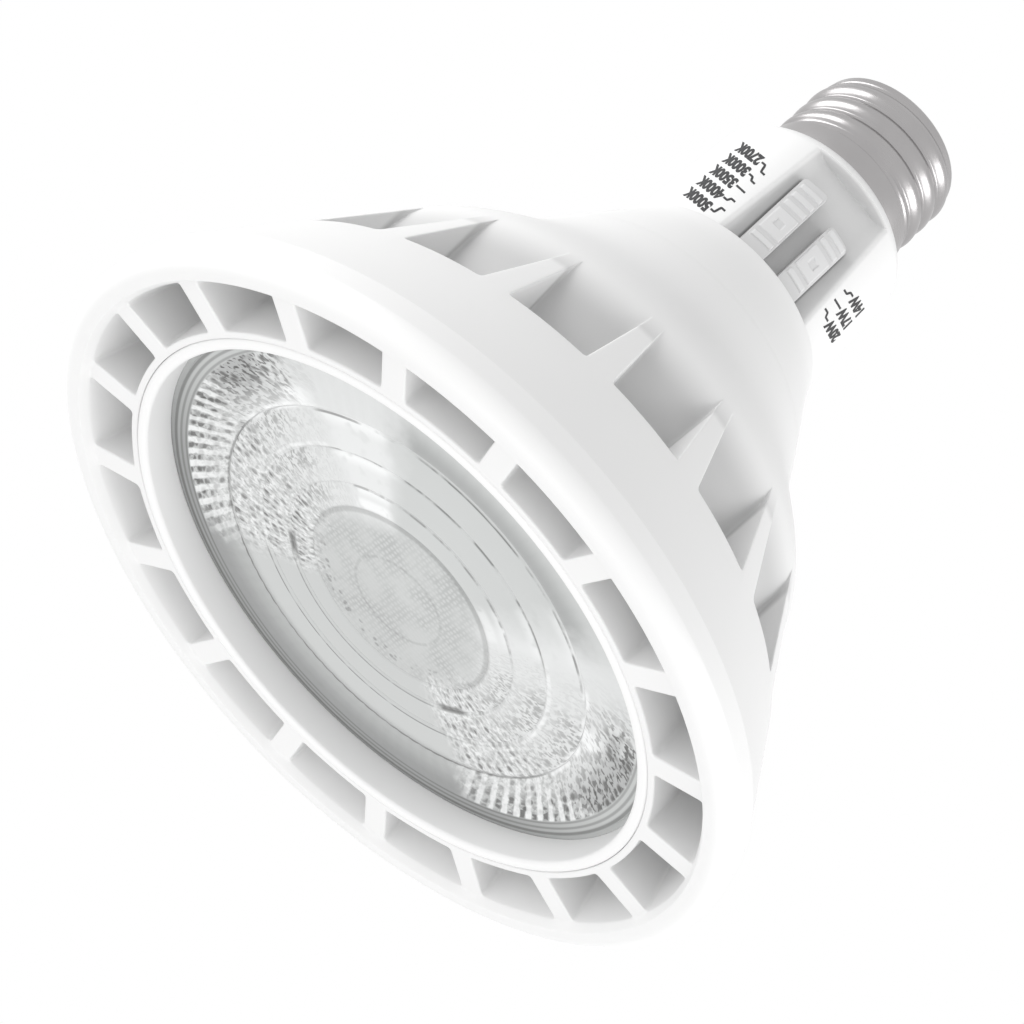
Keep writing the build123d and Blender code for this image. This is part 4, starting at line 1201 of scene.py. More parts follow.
    def cup_line(self) -> Array:
        """Profile from the front border through the bore, the ledges, the bell's inside and the lip to the back."""
        along = unit(np.gradient(self.bell, axis=0))
        inside = self.bell + self.wall * stacked(-along[:, 1], along[:, 0])
        inside = inside[(inside[:, 1] > self.inside_start) & (inside[:, 1] < self.lip_bottom)][::18]
        seat, seat_z = self.lens_seat
        sink, sink_z = self.sink_bore
        mouth = rounded_line([(self.bore + self.front_margin, self.setback), (self.bore, self.setback, 0.22),
                              (self.bore, seat_z, 0.2), (seat, seat_z, 0.2), (seat, self.cup_straight),
                              (sink, self.band_top), (sink, sink_z), (self.sink_ledge[0], sink_z, 0.2),
                              self.sink_ledge], 4)
        lip = rounded_line([(inside[-1, 0] - 0.2, self.lip_bottom), (self.lip_bore, self.lip_bottom, 0.2),
                            (self.lip_bore, self.lip[1], 0.25), (self.lip[0], self.lip[1], 0.35),
                            tuple(self.bell[-12])], 5)
        near = np.abs(self.bell[:, 1] - self.bell_step) < 1.8
        index = np.arange(self.bell_steps)
        keep = (index % np.where(near, 3, 9) == 0) & (index < self.bell_steps - 18)
        outside = self.bell[keep & (self.bell[:, 1] > self.fan + 0.5)][::-1]
        end = np.array([[self.bell_radius(np.array(self.fan)), self.fan]])
        return np.concatenate([mouth, inside, lip, outside, end])

    def bosses(self) -> Shape:
        """Three screw bosses for the heat sink, tubes that root in the bell."""
        hole, outside = self.boss
        face, bottom, root = self.boss_heights
        tube = rounded_line([(hole, bottom), (hole, face), (outside, face, 0.3), (outside, root)])
        post = Shape.turned_profile(tube, 24, closed=True).moved(self.boss_place, 0.0, 0.0)
        return post.turned(np.radians(self.boss_angles))

    def build(self) -> None:
        """Join the vents with the rim, the cup and the bell to one skin."""
        border = self.sector_border(0.0, 1.0, np.array([0.2, 0.8]))
        cup_angle = border[border[:, 1] == 0.0, 0]
        band_angle = border[border[:, 1] == 1.0, 0][::-1]
        strips = [self.channel()]
        for line, angle in ((self.cup_line(), cup_angle), (self.rim_line(), band_angle)):
            both = np.concatenate([-angle[:0:-1], angle])
            strips.append(Shape.sheet(polar(line[:, :1], both[None], line[:, 1:])))
        centres = np.radians(-90.0) + 2 * self.half * np.arange(self.rib_count)
        skin = Shape.joined(strips).turned(centres).welded()
        add_piece("vented_housing_skin", skin, HOUSING_PLASTIC, ["vented_housing"])
        add_piece("sink_bosses", self.bosses(), HOUSING_PLASTIC)


@dataclass
class LensGroup:
    """Clear front optic and the narrow ring that holds it."""

    bezel: tuple[float, float, float, float] = (44.2, 46.09, 1.0, 6.4)
    flange: Triple = (45.5, 6.4, 8.0)
    step: Pair = (43.4, 6.1)
    optic: float = 40.7
    crown: float = 4.3
    web: float = 8.7
    rings: tuple[float, ...] = (32.2, 25.7, 20.1, 15.9)
    prism: float = 5.2
    core: float = 4.0
    ridges: int = 96
    ridge_height: float = 0.12
    pillow: float = 2.1
    groove: Pair = (0.22, 0.15)
    ring_steps: int = 240
    zone_rows: int = 34
    inner_rows: int = 24
    groove_rows: tuple[float, ...] = (-0.45, -0.22, 0.0, 0.22, 0.45)
    lip: float = 42.0

    def ring_piece(self) -> Shape:
        """Ring with a rounded front, a profile carried round the axis."""
        inner, outer, front, back = self.bezel
        line = rounded_line([(inner, back - 1.0), (inner, front, 0.75), (outer, front, 0.75), (outer, back, 0.1),
                             (inner, back, 0.1), (inner, back - 1.0)], 6)
        return Shape.turned_profile(line[:-1], self.ring_steps, closed=True)

    def front_face(self, radius: Array, angle: Array) -> Array:
        """Height of the optic's front.

        A ball-shaped dome with a narrow groove at each ring, and with radial
        ridges broken into pillows in the outer zone.

        Args:
            radius: Distances from the axis.
            angle: Angles about the axis.

        Returns:
            Heights of the front at each radius and angle.
        """
        rise = self.step[1] - self.crown
        ball = (self.optic ** 2 + rise ** 2) / (2 * rise)
        dome = self.crown + ball - np.sqrt(ball ** 2 - np.minimum(radius, self.optic) ** 2)
        zone = smooth_step(self.rings[0], self.rings[0] + 0.6, radius) * (
            1 - smooth_step(self.optic - 0.6, self.optic, radius))
        rows = np.abs(np.sin(math.pi * (radius - self.rings[0]) / self.pillow))
        ridge = np.abs(np.sin(0.5 * self.ridges * angle))
        relief = self.ridge_height * zone * (1 - ridge) * (0.6 + 0.4 * rows)
        width, depth = self.groove
        grooves = sum(np.exp(-((radius - ring) / width) ** 2) for ring in self.rings)
        edge = np.where(radius > self.step[0], self.flange[1], dome)
        return edge + relief + depth * grooves

    def optic_piece(self) -> Shape:
        """Optic as rows of rings: the front from the axis to the flange, then the prisms back to the axis."""
        zone = np.linspace(self.rings[0], self.optic, self.zone_rows)
        fine = np.add.outer(self.rings[1:], self.groove_rows).ravel()
        radius = np.unique(np.round(np.concatenate([
            np.linspace(0.0, self.rings[0], self.inner_rows), fine, zone, [self.rings[0] - 0.4, self.rings[0] - 0.2],
            [self.lip, self.step[0] - 0.05, self.step[0] + 0.05, self.flange[0]]]), 4))
        angle = np.arange(self.ridges * 4) * 2 * math.pi / (self.ridges * 4)
        front = polar(radius[:, None], angle[None], self.front_face(radius[:, None], angle[None]))
        edges = [self.optic, *self.rings]
        back = [(self.flange[0], self.flange[2]), (self.optic, self.flange[2])]
        for outer, inner in zip(edges, edges[1:]):
            back += [(outer, self.web), (inner, self.web + self.prism)]
        back += [(self.rings[-1], self.web)]
        bulge = np.linspace(1.0, 0.0, 9)[1:, None] * self.rings[-1]
        dome = np.hstack([bulge, self.web + self.core * (1 - (bulge / self.rings[-1]) ** 2)])
        line = np.concatenate([np.array(back), dome])
        rear = polar(line[:, :1], angle[None], line[:, 1:])
        return Shape.sheet(np.concatenate([front, rear]), close_columns=True)

    def build(self) -> None:
        """Make the ring and the optic."""
        add_piece("front_ring", self.ring_piece(), LIT_RING_PLASTIC, ["front_bezel"])
        add_piece("front_optic", self.optic_piece(), OPTIC, ["lens"], crease=35.0)


@dataclass
class Neck:
    """Tapered neck with the recess that the selectors slide in."""

    plug: Pair = (17.3, 66.0)
    foot: Pair = (18.5, 75.5)
    head: Pair = (17.4, 98.6)
    collar: Pair = (13.6, 102.3)
    spigot: Triple = (12.2, 10.4, 114.0)
    bore: Pair = (15.4, 96.8)
    floor: float = 14.4
    floor_wall: float = 1.6
    half_widths: Pair = (7.5, 6.1)
    recess_top: float = 98.9
    slope: float = 1.6
    slot_half: float = 1.35
    slot_places: tuple[Pair, ...] = ((-3.85, 7.35), (3.85, 4.85))
    middle: float = 83.5
    taper_rows: float = 76.6
    fine_rows: Pair = (98.0, 99.6)
    end_steep: float = 22.0
    end_set: float = 0.12
    blends: Triple = (1.1, 1.3, 0.6)
    straight: Pair = (0.36, 5.42)
    column_angles: Triple = (48.0, 0.8, 4.0)

    def outer_line(self) -> Array:
        """Profile from the plug's foot up the neck and over the rounded shoulder to the collar."""
        knots = np.array([self.head, self.collar])
        shoulder = clamped_spline(knots, np.array([-0.04, 1.0]), np.array([-1.0, 0.25]), 22)
        start = rounded_line([(self.plug[0] - 0.4, self.plug[1]), (self.plug[0], self.plug[1], 0.3),
                              (self.plug[0], self.foot[1] - 0.02), (self.foot[0], self.foot[1], 0.25),
                              (self.foot[0] - 0.02, self.foot[1] + 0.6)], 4)
        slots = [self.middle + sign * half for _, half in self.slot_places for sign in (-1, 1)]
        first, last = self.fine_rows
        height = np.unique(np.concatenate([np.arange(self.taper_rows, first, 0.7), slots,
                                           np.arange(first, self.head[1], 0.1)]))
        share = (height - self.foot[1]) / (self.head[1] - self.foot[1])
        taper = stacked(self.foot[0] + share * (self.head[0] - self.foot[0]), height)
        rise = np.arange(self.head[1], last, 0.08)
        near = stacked(np.interp(rise, shoulder[:, 1], shoulder[:, 0]), rise)
        end = rounded_line([tuple(shoulder[-2]), (*self.collar, 0.25), (self.collar[0] - 0.6, self.collar[1])], 4)
        return np.concatenate([start, taper, near, shoulder[shoulder[:, 1] > last + 0.05][:-1], end])

    def trough(self, angle: Array, height: Array) -> Array:
        """Radius of the recess: the larger of its flat floor, its sloping sides and its end wall, rounded."""
        half = np.interp(height, [self.plug[1], self.recess_top], self.half_widths)
        away = np.abs(angle)
        floor = self.floor / np.cos(np.minimum(away, 1.3))
        least, outside = 0.05, 400.0
        opening = self.slope * np.cos(away) - np.sin(away)
        side = np.where(opening > least, (self.slope * self.floor - half) / np.maximum(opening, least), outside)
        end = self.floor + (height - self.recess_top + self.end_set) * self.end_steep
        return smooth_max(smooth_max(floor, side, self.blends[0]), end, self.blends[1])

    def slot_sides(self, place: float) -> list[float]:
        """Angles of a slot's two sides from the recess's middle."""
        return [math.atan((place + sign * self.slot_half) / self.floor) for sign in (-1, 1)]

    def columns(self) -> Array:
        """Angles from the recess's middle, close together across the recess and at the slots' sides."""
        sides = [side for place, _ in self.slot_places for side in self.slot_sides(place)]
        half, fine, coarse = self.column_angles
        wide = np.radians(np.arange(-180.0, 180.0, coarse))
        close = np.radians(np.arange(-half, half + 0.01, fine))
        close = close[np.min(np.abs(close[:, None] - np.array(sides)), axis=1) > math.radians(0.3)]
        return np.sort(np.concatenate([wide[np.abs(wide) > math.radians(half + 1.0)], close, sides]))

    @staticmethod
    def around(radius: Array, angle: Array, height: Array) -> Array:
        """Points at angles from the recess's middle."""
        return stacked(radius * np.sin(angle), -radius * np.cos(angle), height)

    def bore_rows(self, angle: Array, height: Array) -> Array:
        """Rows of the bore: a flat whose columns stand behind the recess's, then the round part."""
        flat = self.floor - self.floor_wall
        reach = math.acos(flat / self.bore[0])
        bend, bend_x = self.straight
        aside = np.interp(np.abs(angle), [bend, reach], [bend_x, self.bore[0] * math.sin(reach)])
        behind = np.where(np.abs(angle) < bend, self.floor * np.tan(np.clip(angle, -0.4, 0.4)),
                          np.sign(angle) * aside)
        x = np.where(np.abs(angle) < reach, behind, self.bore[0] * np.sin(angle))
        y = np.where(np.abs(angle) < reach, -flat, -self.bore[0] * np.cos(angle))
        return stacked(x, y, height[:, None])

    def skin(self) -> Shape:
        """Neck as one closed loop of rows: up the outside, over the spigot and down the bore.

        Each slot is a hole in the recess's floor and in the bore, and four
        walls between the two.
        """
        angle, line = self.columns(), self.outer_line()
        radius = smooth_min(line[:, :1] + 0 * angle, self.trough(angle[None], line[:, 1:]), self.blends[2])
        thin, bore, top = self.spigot
        cap = np.array([(thin, self.collar[1]), (thin, top), (bore, top), (bore, self.collar[1])])
        rows = np.flatnonzero((line[:, 1] < self.bore[1]) & (np.diff(line[:, 1], append=999.0) > 0.01))[::-1]
        grid = np.concatenate([self.around(radius, angle, line[:, 1:]), self.around(cap[:, :1], angle, cap[:, 1:]),
                               self.bore_rows(angle, line[rows, 1])])
        holes = np.zeros(grid.shape[:2], bool)
        walls = []

        def nearest(places: Array, goal: float) -> int:
            """Index of the place next to a goal."""
            return int(np.argmin(np.abs(places - goal)))

        for place, half in self.slot_places:
            left, right = (nearest(angle, side) for side in self.slot_sides(place))
            low, high = (nearest(line[:, 1], self.middle + sign * half) for sign in (-1, 1))
            inner_low, inner_high = (len(line) + len(cap) + nearest(rows, row) for row in (low, high))
            holes[low:high, left:right] = True
            holes[inner_high:inner_low, left:right] = True
            mouth = grid[low:high + 1, left:right + 1]
            inside = grid[inner_high:inner_low + 1, left:right + 1][::-1]
            for border in ((0,), (slice(None), -1), (-1,), (slice(None), 0)):
                walls.append(Shape.sheet(np.stack([mouth[border], inside[border]])))
        return Shape.joined([Shape.sheet(grid, close_rows=True, close_columns=True, holes=holes)] + walls)

    def build(self) -> None:
        """Make the neck's skin."""
        add_piece("neck_skin", self.skin(), NECK_PLASTIC, ["neck_housing"])


@dataclass(frozen=True)
class SelectorSizes:
    """Place across the recess, pad length, body, CAD node and finger ridges below and above the grip."""

    across: float
    length: float
    body: str
    node: str
    ridges: tuple[int, int]


class Selector(Enum):
    """The two selectors."""

    COLOUR = SelectorSizes(-3.85, 19.8, "colour_selector", "colour_slider", (1, 3))
    POWER = SelectorSizes(3.85, 14.2, "power_selector", "power_slider", (1, 2))


@dataclass
class SelectorPad:
    """Ribbed pad with a square pointer, on a forked stem."""

    sizes: SelectorSizes
    width: float = 4.5
    radius: float = 16.9
    under: float = 14.7
    edge: float = 0.2
    corner: float = 0.9
    raised: float = 0.3
    inset: float = 0.3
    ridge_width: float = 1.3
    ridge_gap: float = 0.7
    grip: float = 5.3
    soft: float = 0.2
    pointer: float = 1.6
    pointer_depth: float = 0.15
    pointer_soft: float = 0.14
    middle: float = 83.5
    stem: tuple[float, float, float, float] = (2.0, 4.0, 12.65, 13.6)
    stem_rows: tuple[float, ...] = (-2.0, -1.5, -1.01, -1.0, 0.0, 1.0, 1.01, 1.5, 2.0)

    def raised_spans(self) -> Array:
        """Middle and half length of the grip and of each finger ridge, along the pad."""
        below, above = self.sizes.ridges
        pitch = self.ridge_width + self.ridge_gap
        first = self.grip / 2 + self.ridge_gap + self.ridge_width / 2
        middles = np.concatenate([[0.0], -first - pitch * np.arange(below), first + pitch * np.arange(above)])
        halves = np.full(len(middles), self.ridge_width / 2)
        halves[0] = self.grip / 2
        return stacked(middles, halves)

    def face(self, x: Array, z: Array) -> Array:
        """Radius of the pad's face.

        Args:
            x: Distances across the pad from its middle.
            z: Distances along the pad from its middle.

        Returns:
            The curved face plus the raised grip and finger ridges, less the
            grip's square well, rolled off along the pad's border.
        """
        spans = self.raised_spans()
        inside = np.max(spans[:, 1] - np.abs(z[..., None] - spans[:, 0]), axis=-1)
        inside = np.minimum(inside, self.width / 2 - self.inset - np.abs(x))
        bars = smooth_step(0.0, self.soft, inside)
        well = smooth_step(0.0, self.pointer_soft, self.pointer / 2 - np.maximum(np.abs(x), np.abs(z)))
        border = np.minimum(self.width / 2 - np.abs(x), self.sizes.length / 2 - np.abs(z))
        reach = np.clip(border, 0.0, self.edge)
        roll = self.edge - np.sqrt(np.maximum(self.edge ** 2 - (self.edge - reach) ** 2, 0.0))
        return self.radius + self.raised * bars - self.pointer_depth * well - roll

    def shape(self) -> Shape:
        """Pad as a height field over its outline, with the forked stem below it.

        The grid's columns draw in towards the pad's ends by the quarter circle
        of its corners.
        """
        side, length = self.sizes.across, self.sizes.length
        dense = np.linspace(0.0, 1.0, 5)[:-1] ** 2 * self.edge
        x = np.linspace(-self.width / 2 + self.edge, self.width / 2 - self.edge, 34)
        x = np.concatenate([-self.width / 2 + dense, x, self.width / 2 - dense[::-1]])
        z = np.linspace(-length / 2 + self.edge, length / 2 - self.edge, int(length / 0.1))
        z = np.concatenate([-length / 2 + dense, z, length / 2 - dense[::-1]])
        across, along = np.meshgrid(x, z, indexing="ij")
        radius = self.face(across, along)
        turn = np.clip(self.corner - (length / 2 - np.abs(along)), 0.0, self.corner)
        narrow = self.corner - np.sqrt(self.corner ** 2 - turn ** 2)
        across = across * (1 - narrow / (self.width / 2))
        place = across + side
        top = stacked(place, -np.sqrt(radius ** 2 - place ** 2), along + self.middle)
        bottom = stacked(place, -self.under, along + self.middle)
        wide, tall, foot, notch = self.stem
        sx, sz = np.meshgrid(np.linspace(-wide / 2, wide / 2, 5), np.array(self.stem_rows) * tall / 4, indexing="ij")
        reach = np.where(np.abs(sz) <= 1.0, -notch, -foot)
        upper = stacked(sx + side, -self.under - 0.2, sz + self.middle)
        lower = stacked(sx + side, reach, sz + self.middle)
        return Shape.joined([Shape.slab(top, bottom), Shape.slab(upper, lower)])

    def build(self) -> None:
        """Make the pad and let it ride on its selector."""
        node = self.sizes.node
        add_piece(node + "_pad", self.shape(), SELECTOR_PLASTIC, [node], self.sizes.body)


@dataclass
class ScrewBase:
    """Plated screw shell, insulator and centre contact."""

    skirt: Triple = (13.3, 102.3, 107.0)
    root: float = 12.55
    crest: float = 13.2
    pitch: float = 3.63
    share: float = 0.84
    lead: float = 1.1
    turn: Pair = (11.2, 121.8)
    thread_end: float = 120.2
    thread_fades: Pair = (1.2, 1.6)
    sheet: float = 0.35
    neck: float = 0.9
    steps: int = 192
    blunt: float = 0.9
    turn_steps: int = 96
    glass: tuple[tuple[float, ...], ...] = ((1.1, 119.2), (12.1, 119.2), (12.1, 119.85), (10.75, 121.45),
                                            (10.75, 122.15, 0.5), (5.3, 125.2, 0.4), (1.1, 125.2))
    rivet: tuple[tuple[float, ...], ...] = ((0.0, 122.6), (1.0, 122.6, 0.1), (1.0, 125.2), (4.8, 125.2, 0.2),
                                            (4.8, 125.8))
    dome: Triple = (4.8, 125.9, 1.5)

    def shell(self) -> Shape:
        """Shell as rows of rings: skirt, rolled thread, turned-in end and the bore.

        The thread is a rounded ridge whose place along the axis moves one pitch
        in each turn: a power of 1 - d^2 with the distance d from the ridge's middle,
        cut at the ridge's share of the pitch and faded out at both ends.
        """
        angle = np.arange(self.steps) * 2 * math.pi / self.steps
        radius, low, high = self.skirt
        begin = high + self.neck
        start = rounded_line([(self.root - 0.3, low), (radius, low, 0.12), (radius, high, 0.3),
                              (self.root, high + 0.4, 0.2), (self.root, begin)], 4)
        height = np.arange(begin + 0.1, self.thread_end, 0.11)
        end = rounded_line([(self.root, self.thread_end), (self.root, self.thread_end + 0.5, 0.8), (*self.turn, 0.15),
                            (self.turn[0] - self.sheet, self.turn[1] - self.sheet, 0.1),
                            (self.root - self.sheet, self.thread_end - 0.2), (self.root - 0.3, begin)], 4)
        line = np.concatenate([start, stacked(self.root, height), end])
        z = line[:, 1:]
        phase = (z - high + self.lead) / self.pitch - angle[None] / (2 * math.pi)
        away = 2 * (phase - np.floor(phase)) - 1
        ridge = np.clip(1 - (away / self.share) ** 2, 0.0, 1.0) ** self.blunt
        rise, fall = self.thread_fades
        fade = smooth_step(begin, begin + rise, z) * (1 - smooth_step(self.thread_end - fall, self.thread_end, z))
        outer = (np.arange(len(line)) < len(start) + len(height))[:, None]
        grid = polar(line[:, :1] + (self.crest - self.root) * ridge * fade * outer, angle[None], z)
        return Shape.sheet(grid, close_rows=True, close_columns=True)

    def insulator(self) -> Shape:
        """Glass-black cone with a rolled rim, a profile round the axis."""
        return Shape.turned_profile(rounded_line(self.glass), self.turn_steps, closed=True)

    def contact(self) -> Shape:
        """Domed contact with its rivet stem, a profile round the axis."""
        ball = np.linspace(1.0, 0.0, 12)[:, None]
        wide, edge, crown = self.dome
        dome = np.hstack([wide * ball, edge + crown * np.sqrt(np.maximum(1 - ball ** 2, 0.0))])
        return Shape.turned_profile(np.concatenate([rounded_line(self.rivet, 4), dome]), self.turn_steps)

    def build(self) -> None:
        """Make the three pieces of the base."""
        add_piece("screw_shell_skin", self.shell(), NICKEL, ["screw_shell"])
        add_piece("base_insulator_cone", self.insulator(), BLACK_GLASS, ["base_insulator"])
        add_piece("centre_contact_dome", self.contact(), SOLDER_BRASS, ["centre_contact"])


@dataclass
class InnerWorks:
    """Finishes of the parts inside the lamp, which keep their CAD shapes."""

    finishes: dict[str, Finish] = field(default_factory=lambda: {
        "lens_gasket": SEAL, "heat_sink": SPUN_ALUMINIUM, "heat_sink_screws": STEEL, "led_board": BOARD_WHITE,
        "led_packages": PHOSPHOR, "led_board_screws": STEEL, "colour_switch_knob": BLACK_MOULDING,
        "power_switch_knob": BLACK_MOULDING, "colour_switch_body": STEEL, "power_switch_body": STEEL,
        "switch_board": BOARD_GREEN, "switch_board_screws": STEEL, "switch_link_pins": TINNED,
        "driver_board": BOARD_GREEN, "transformer_core": FERRITE, "transformer_coil": COIL_TAPE,
        "bulk_capacitor": CAN_SLEEVE, "film_capacitor": FILM_BOX, "input_choke": COPPER_WIRE,
        "fuse_resistor": RESISTOR_COAT, "varistor": VARISTOR_COAT, "bridge_rectifier": BLACK_MOULDING,
        "driver_chips": BLACK_MOULDING, "led_wires": WIRE_RED, "live_wire": WIRE_BLACK, "neutral_wire": WIRE_WHITE,
    })

    def dress(self) -> None:
        """Give each inner node its finish."""
        for node, finish in self.finishes.items():
            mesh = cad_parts[node].data
            mesh.materials.clear()
            mesh.materials.append(finish.material())
            log.info("%s: %s", node, finish.name)


@dataclass
class PrintedScale:
    """Numbers beside the recess and the leader marks that point at the selector positions."""

    selector: Selector
    words: tuple[str, ...]
    neck: Neck
    wrap: float = 18.2
    span: Pair = (34.9, 41.3)
    row_pitch: float = 3.25
    size: float = 3.0
    narrow: float = 0.74
    bold: float = 0.062
    position_pitch: float = 2.5
    rise: float = 0.8
    tilt: float = 0.526
    mark: float = 0.42
    proud: float = 0.02
    gap: float = 0.25

    @property
    def side(self) -> float:
        """-1 or 1, the side of the recess that the scale is on."""
        return math.copysign(1.0, self.selector.value.across)

    def surface(self, along: Array, row: Array) -> Array:
        """Points on the neck for places on the print.

        The print was laid on along a slanting direction, so a row climbs by
        tilt times the way that the neck falls back behind the leaders' ends.

        Args:
            along: Arc lengths from the recess's middle.
            row: Heights at the leaders' outer ends.

        Returns:
            Points a hair outside the neck's taper.
        """
        height = row + self.tilt * self.wrap * (math.cos(math.radians(self.span[1])) - np.cos(along / self.wrap))
        share = (height - self.neck.foot[1]) / (self.neck.head[1] - self.neck.foot[1])
        radius = self.neck.foot[0] + share * (self.neck.head[0] - self.neck.foot[0]) + self.proud
        return self.neck.around(radius, along / radius, height)

    def rows(self, pitch: float) -> Array:
        """Heights of rows at a pitch, from the base side down."""
        count = len(self.words)
        return self.neck.middle + self.rise + pitch * ((count - 1) / 2 - np.arange(count))

    def leaders(self) -> Shape:
        """Narrow bands that step from a selector position to its text row: a step of a cubic."""
        near, far = (math.radians(angle) * self.wrap for angle in self.span)
        shapes = []
        for row, goal in zip(self.rows(self.row_pitch), self.rows(self.position_pitch)):
            share = np.linspace(0.0, 1.0, 33)
            step = goal + (row - goal) * smooth_step(0.38, 0.62, share)
            path = stacked(near + (far - near) * share, step)
            normal = unit(np.gradient(path, axis=0))[:, ::-1] * np.array([-1.0, 1.0])
            edge = [path + normal * self.mark / 2 * sign for sign in (-1, 1)]
            shapes.append(Shape.sheet(np.stack([self.surface(self.side * part[:, 0], part[:, 1]) for part in edge])))
        return Shape.joined(shapes)

    def lettering(self) -> Shape:
        """Numbers set on the neck, read outwards from the recess on one side and towards it on the other."""
        start = self.side * (math.radians(self.span[1]) * self.wrap + self.gap)
        shapes = []
        for word, row in zip(self.words, self.rows(self.row_pitch)):
            curve = bpy.data.curves.new("scale_word", "FONT")
            curve.body = word
            curve.size = self.size
            curve.offset = self.bold * self.size
            curve.align_x = "LEFT" if self.side < 0 else "RIGHT"
            curve.align_y = "CENTER"
            curve.resolution_u = 3
            holder = bpy.data.objects.new("scale_word", curve)
            bpy.context.scene.collection.objects.link(holder)
            mesh = bpy.data.meshes.new_from_object(holder.evaluated_get(bpy.context.evaluated_depsgraph_get()))
            mesh.calc_loop_triangles()
            flat = np.empty(len(mesh.vertices) * 3)
            mesh.vertices.foreach_get("co", flat)
            flat = flat.reshape(-1, 3)
            corners = np.empty(len(mesh.loop_triangles) * 3, np.int32)
            mesh.loop_triangles.foreach_get("vertices", corners)
            bpy.data.objects.remove(holder)
            bpy.data.meshes.remove(mesh)
            bpy.data.curves.remove(curve)
            points = self.surface(start - flat[:, 0] * self.narrow, row - flat[:, 1])
            shapes.append(Shape(points, np.empty((0, 4), np.int64), corners.reshape(-1, 3).astype(np.int64)))
        return Shape.joined(shapes)

    def build(self) -> None:
        """Print the numbers and the marks on the neck."""
        name = self.selector.name.lower() + "_scale"
        add_piece(name + "_numbers", self.lettering(), INK)
        add_piece(name + "_marks", self.leaders(), INK)


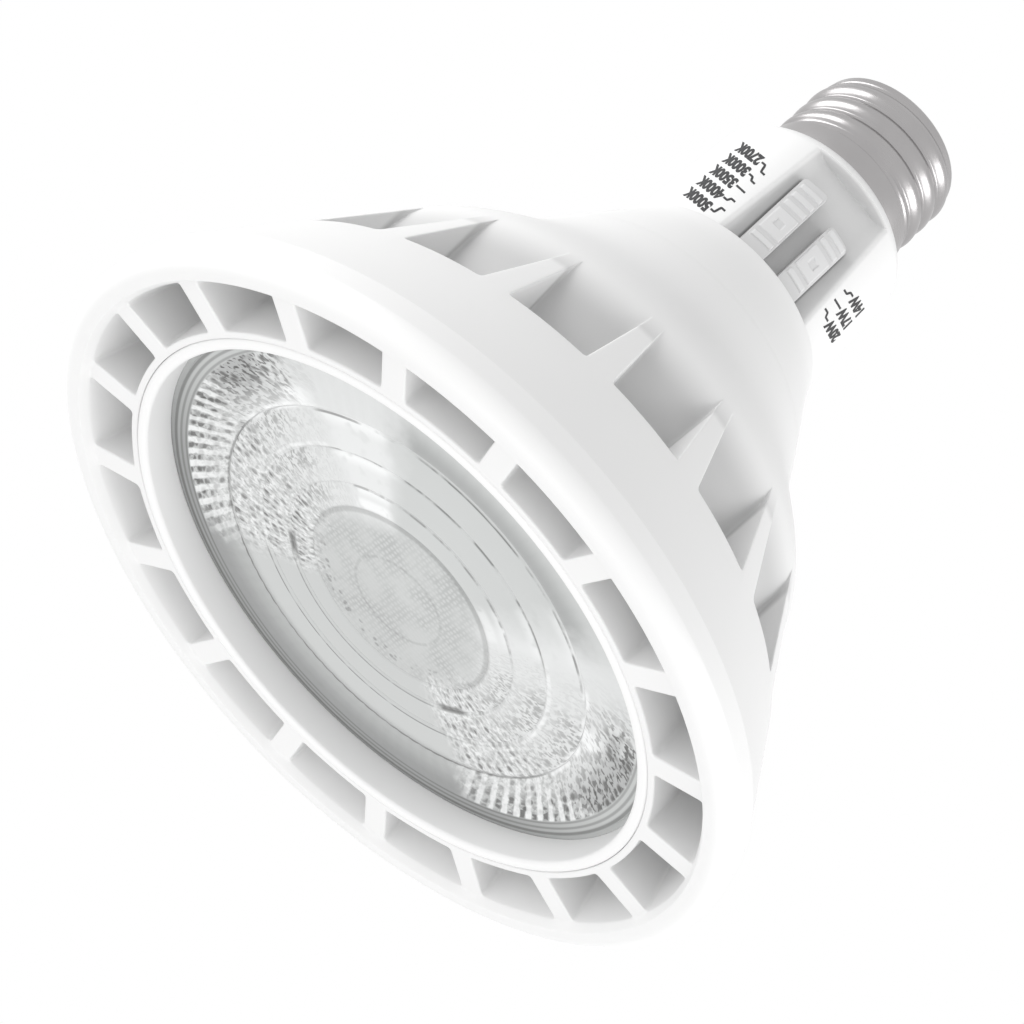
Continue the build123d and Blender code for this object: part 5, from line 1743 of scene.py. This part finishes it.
@dataclass
class Studio:
    """Camera, floor, world and lamps."""

    place: Triple = (-42.07, -444.90, -232.53)
    right: Triple = (0.64405, -0.43244, 0.63103)
    up: Triple = (-0.76026, -0.27026, 0.59074)
    back: Triple = (-0.08492, -0.86021, -0.50283)
    lens: float = 128.3
    sensor: float = 36.0
    clip: Pair = (0.01, 10.0)
    sky: float = 0.505
    sides: float = 0.95
    below: float = 0.40
    near: float = 0.15
    aim: Triple = (0.0, 0.0, 0.06)
    floor_reach: float = 3.0
    # Tones of the floor: the painted contact shadow's at the rim and the paper's; contact gives the radii over which
    # the shadow fades.
    shadow_and_paper_tones: tuple[Colour, Colour] = ((0.22, 0.22, 0.22), (0.9, 0.9, 0.9))
    contact: Pair = (59.0, 78.0)
    lift: float = 0.2
    lamps: tuple[tuple[str, Triple, Pair, float], ...] = (
        ("left_lamp", (-0.86, -0.03, 0.17), (0.8, 0.45), 4.2),
        ("right_lamp", (0.80, -0.29, 0.14), (0.4, 0.66), 2.9),
        ("front_lamp", (0.0, -0.2, -1.0), (0.6, 0.6), 1.7),
    )

    def add_camera(self) -> None:
        """Camera at the photograph's viewing angle."""
        data = bpy.data.cameras.new("camera")
        data.lens, data.sensor_width = self.lens, self.sensor
        data.clip_start, data.clip_end = self.clip
        camera = bpy.data.objects.new("camera", data)
        turn = Matrix((self.right, self.up, self.back)).transposed().to_4x4()
        camera.matrix_world = Matrix.Translation([MM * part for part in self.place]) @ turn
        bpy.context.scene.collection.objects.link(camera)
        bpy.context.scene.camera = camera

    def add_floor(self) -> None:
        """Pale floor that is seen from above and lets light and sight through from below.

        Its paper has a painted contact shadow, dark at the rim and pale farther out.
        """
        mesh = bpy.data.meshes.new("floor")
        corners = [(x * self.floor_reach, y * self.floor_reach, 0.0) for x, y in ((-1, -1), (1, -1), (1, 1), (-1, 1))]
        mesh.from_pydata(corners, [], [range(4)])
        floor = bpy.data.objects.new("floor", mesh)
        material = bpy.data.materials.new("floor_paper")
        material.use_nodes = True
        net = Net(material.node_tree)
        behind = net.add("ShaderNodeNewGeometry", output="Backfacing")
        radius, _ = net.cylinder()
        # Painted contact shadow: dark paper at the rim, pale beyond the contact's outer radius.
        tone = net.mix(net.step(*self.contact, radius), *self.shadow_and_paper_tones)
        seen = net.add("ShaderNodeLightPath", output="Is Camera Ray")
        glow = net.add("ShaderNodeEmission", inputs={"Strength": seen * self.lift})
        matt = net.add("ShaderNodeBsdfDiffuse", inputs={"Color": tone})
        paper = net.add("ShaderNodeAddShader", inputs={0: matt, 1: glow})
        clear = net.add("ShaderNodeBsdfTransparent")
        shader = net.add("ShaderNodeMixShader", inputs={0: behind, 1: paper, 2: clear})
        net.add("ShaderNodeOutputMaterial", inputs={"Surface": shader})
        mesh.materials.append(material)
        bpy.context.scene.collection.objects.link(floor)
        for ray in ("diffuse", "glossy", "transmission", "shadow"):
            setattr(floor, "visible_" + ray, False)

    def add_world(self) -> None:
        """White surround for the eye, for gloss and for glass, and a soft tent for the light.

        The tent's strength is sky + sides * dx^2 - below * dz - near * dy of the
        direction d: brighter to both sides, below the front and towards the viewer.
        """
        world = bpy.data.worlds.new("surround")
        world.use_nodes = True
        bpy.context.scene.world = world
        net = Net(world.node_tree)
        seen, gloss, glass = (net.add("ShaderNodeLightPath", output=f"Is {ray} Ray")
                              for ray in ("Camera", "Glossy", "Transmission"))
        colour = (1.0, 1.0, 1.0, 1.0)
        white = net.add("ShaderNodeBackground", inputs={"Color": colour, "Strength": 1.0})
        way = net.add("ShaderNodeTexCoord", output="Generated")
        dx, dy, dz = net.parts(way)
        tent = dx * dx * self.sides - dz * self.below - dy * self.near + self.sky
        sky = net.add("ShaderNodeBackground", inputs={"Color": colour, "Strength": tent})
        shader = net.add("ShaderNodeMixShader", inputs={0: seen.largest(gloss).largest(glass), 1: sky, 2: white})
        net.add("ShaderNodeOutputWorld", inputs={"Surface": shader})

    def add_lamp(self, name: str, place: Triple, size: Pair, power: float) -> None:
        """Soft lamp that looks at the middle of the object.

        Args:
            name: Name of the lamp.
            place: Its place in metres.
            size: Its width and height in metres.
            power: Power in watts.
        """
        data = bpy.data.lights.new(name, "AREA")
        data.shape = "RECTANGLE"
        data.size, data.size_y, data.energy = *size, power
        lamp = bpy.data.objects.new(name, data)
        turn = (Vector(place) - Vector(self.aim)).to_track_quat("Z", "Y")
        lamp.matrix_world = Matrix.Translation(place) @ turn.to_matrix().to_4x4()
        bpy.context.scene.collection.objects.link(lamp)

    def build(self) -> None:
        """Set up the view and the light."""
        bpy.context.scene.view_settings.view_transform = "Standard"
        self.add_camera()
        self.add_floor()
        self.add_world()
        for lamp in self.lamps:
            self.add_lamp(*lamp)


def main() -> None:
    """Build the light, then the lamp's pieces in order, from the housing to the printed scales."""
    logging.basicConfig(level=logging.INFO, format="%(message)s")
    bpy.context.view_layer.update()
    Studio().build()
    VentedHousing().build()
    LensGroup().build()
    neck = Neck()
    neck.build()
    for selector in Selector:
        SelectorPad(selector.value).build()
    ScrewBase().build()
    InnerWorks().dress()
    PrintedScale(Selector.COLOUR, ("2700K", "3000K", "3500K", "4000K", "5000K"), neck).build()
    PrintedScale(Selector.POWER, ("14W", "17W", "20W"), neck, span=(33.0, 40.2), row_pitch=3.3).build()


if __name__ == "__main__":
    main()
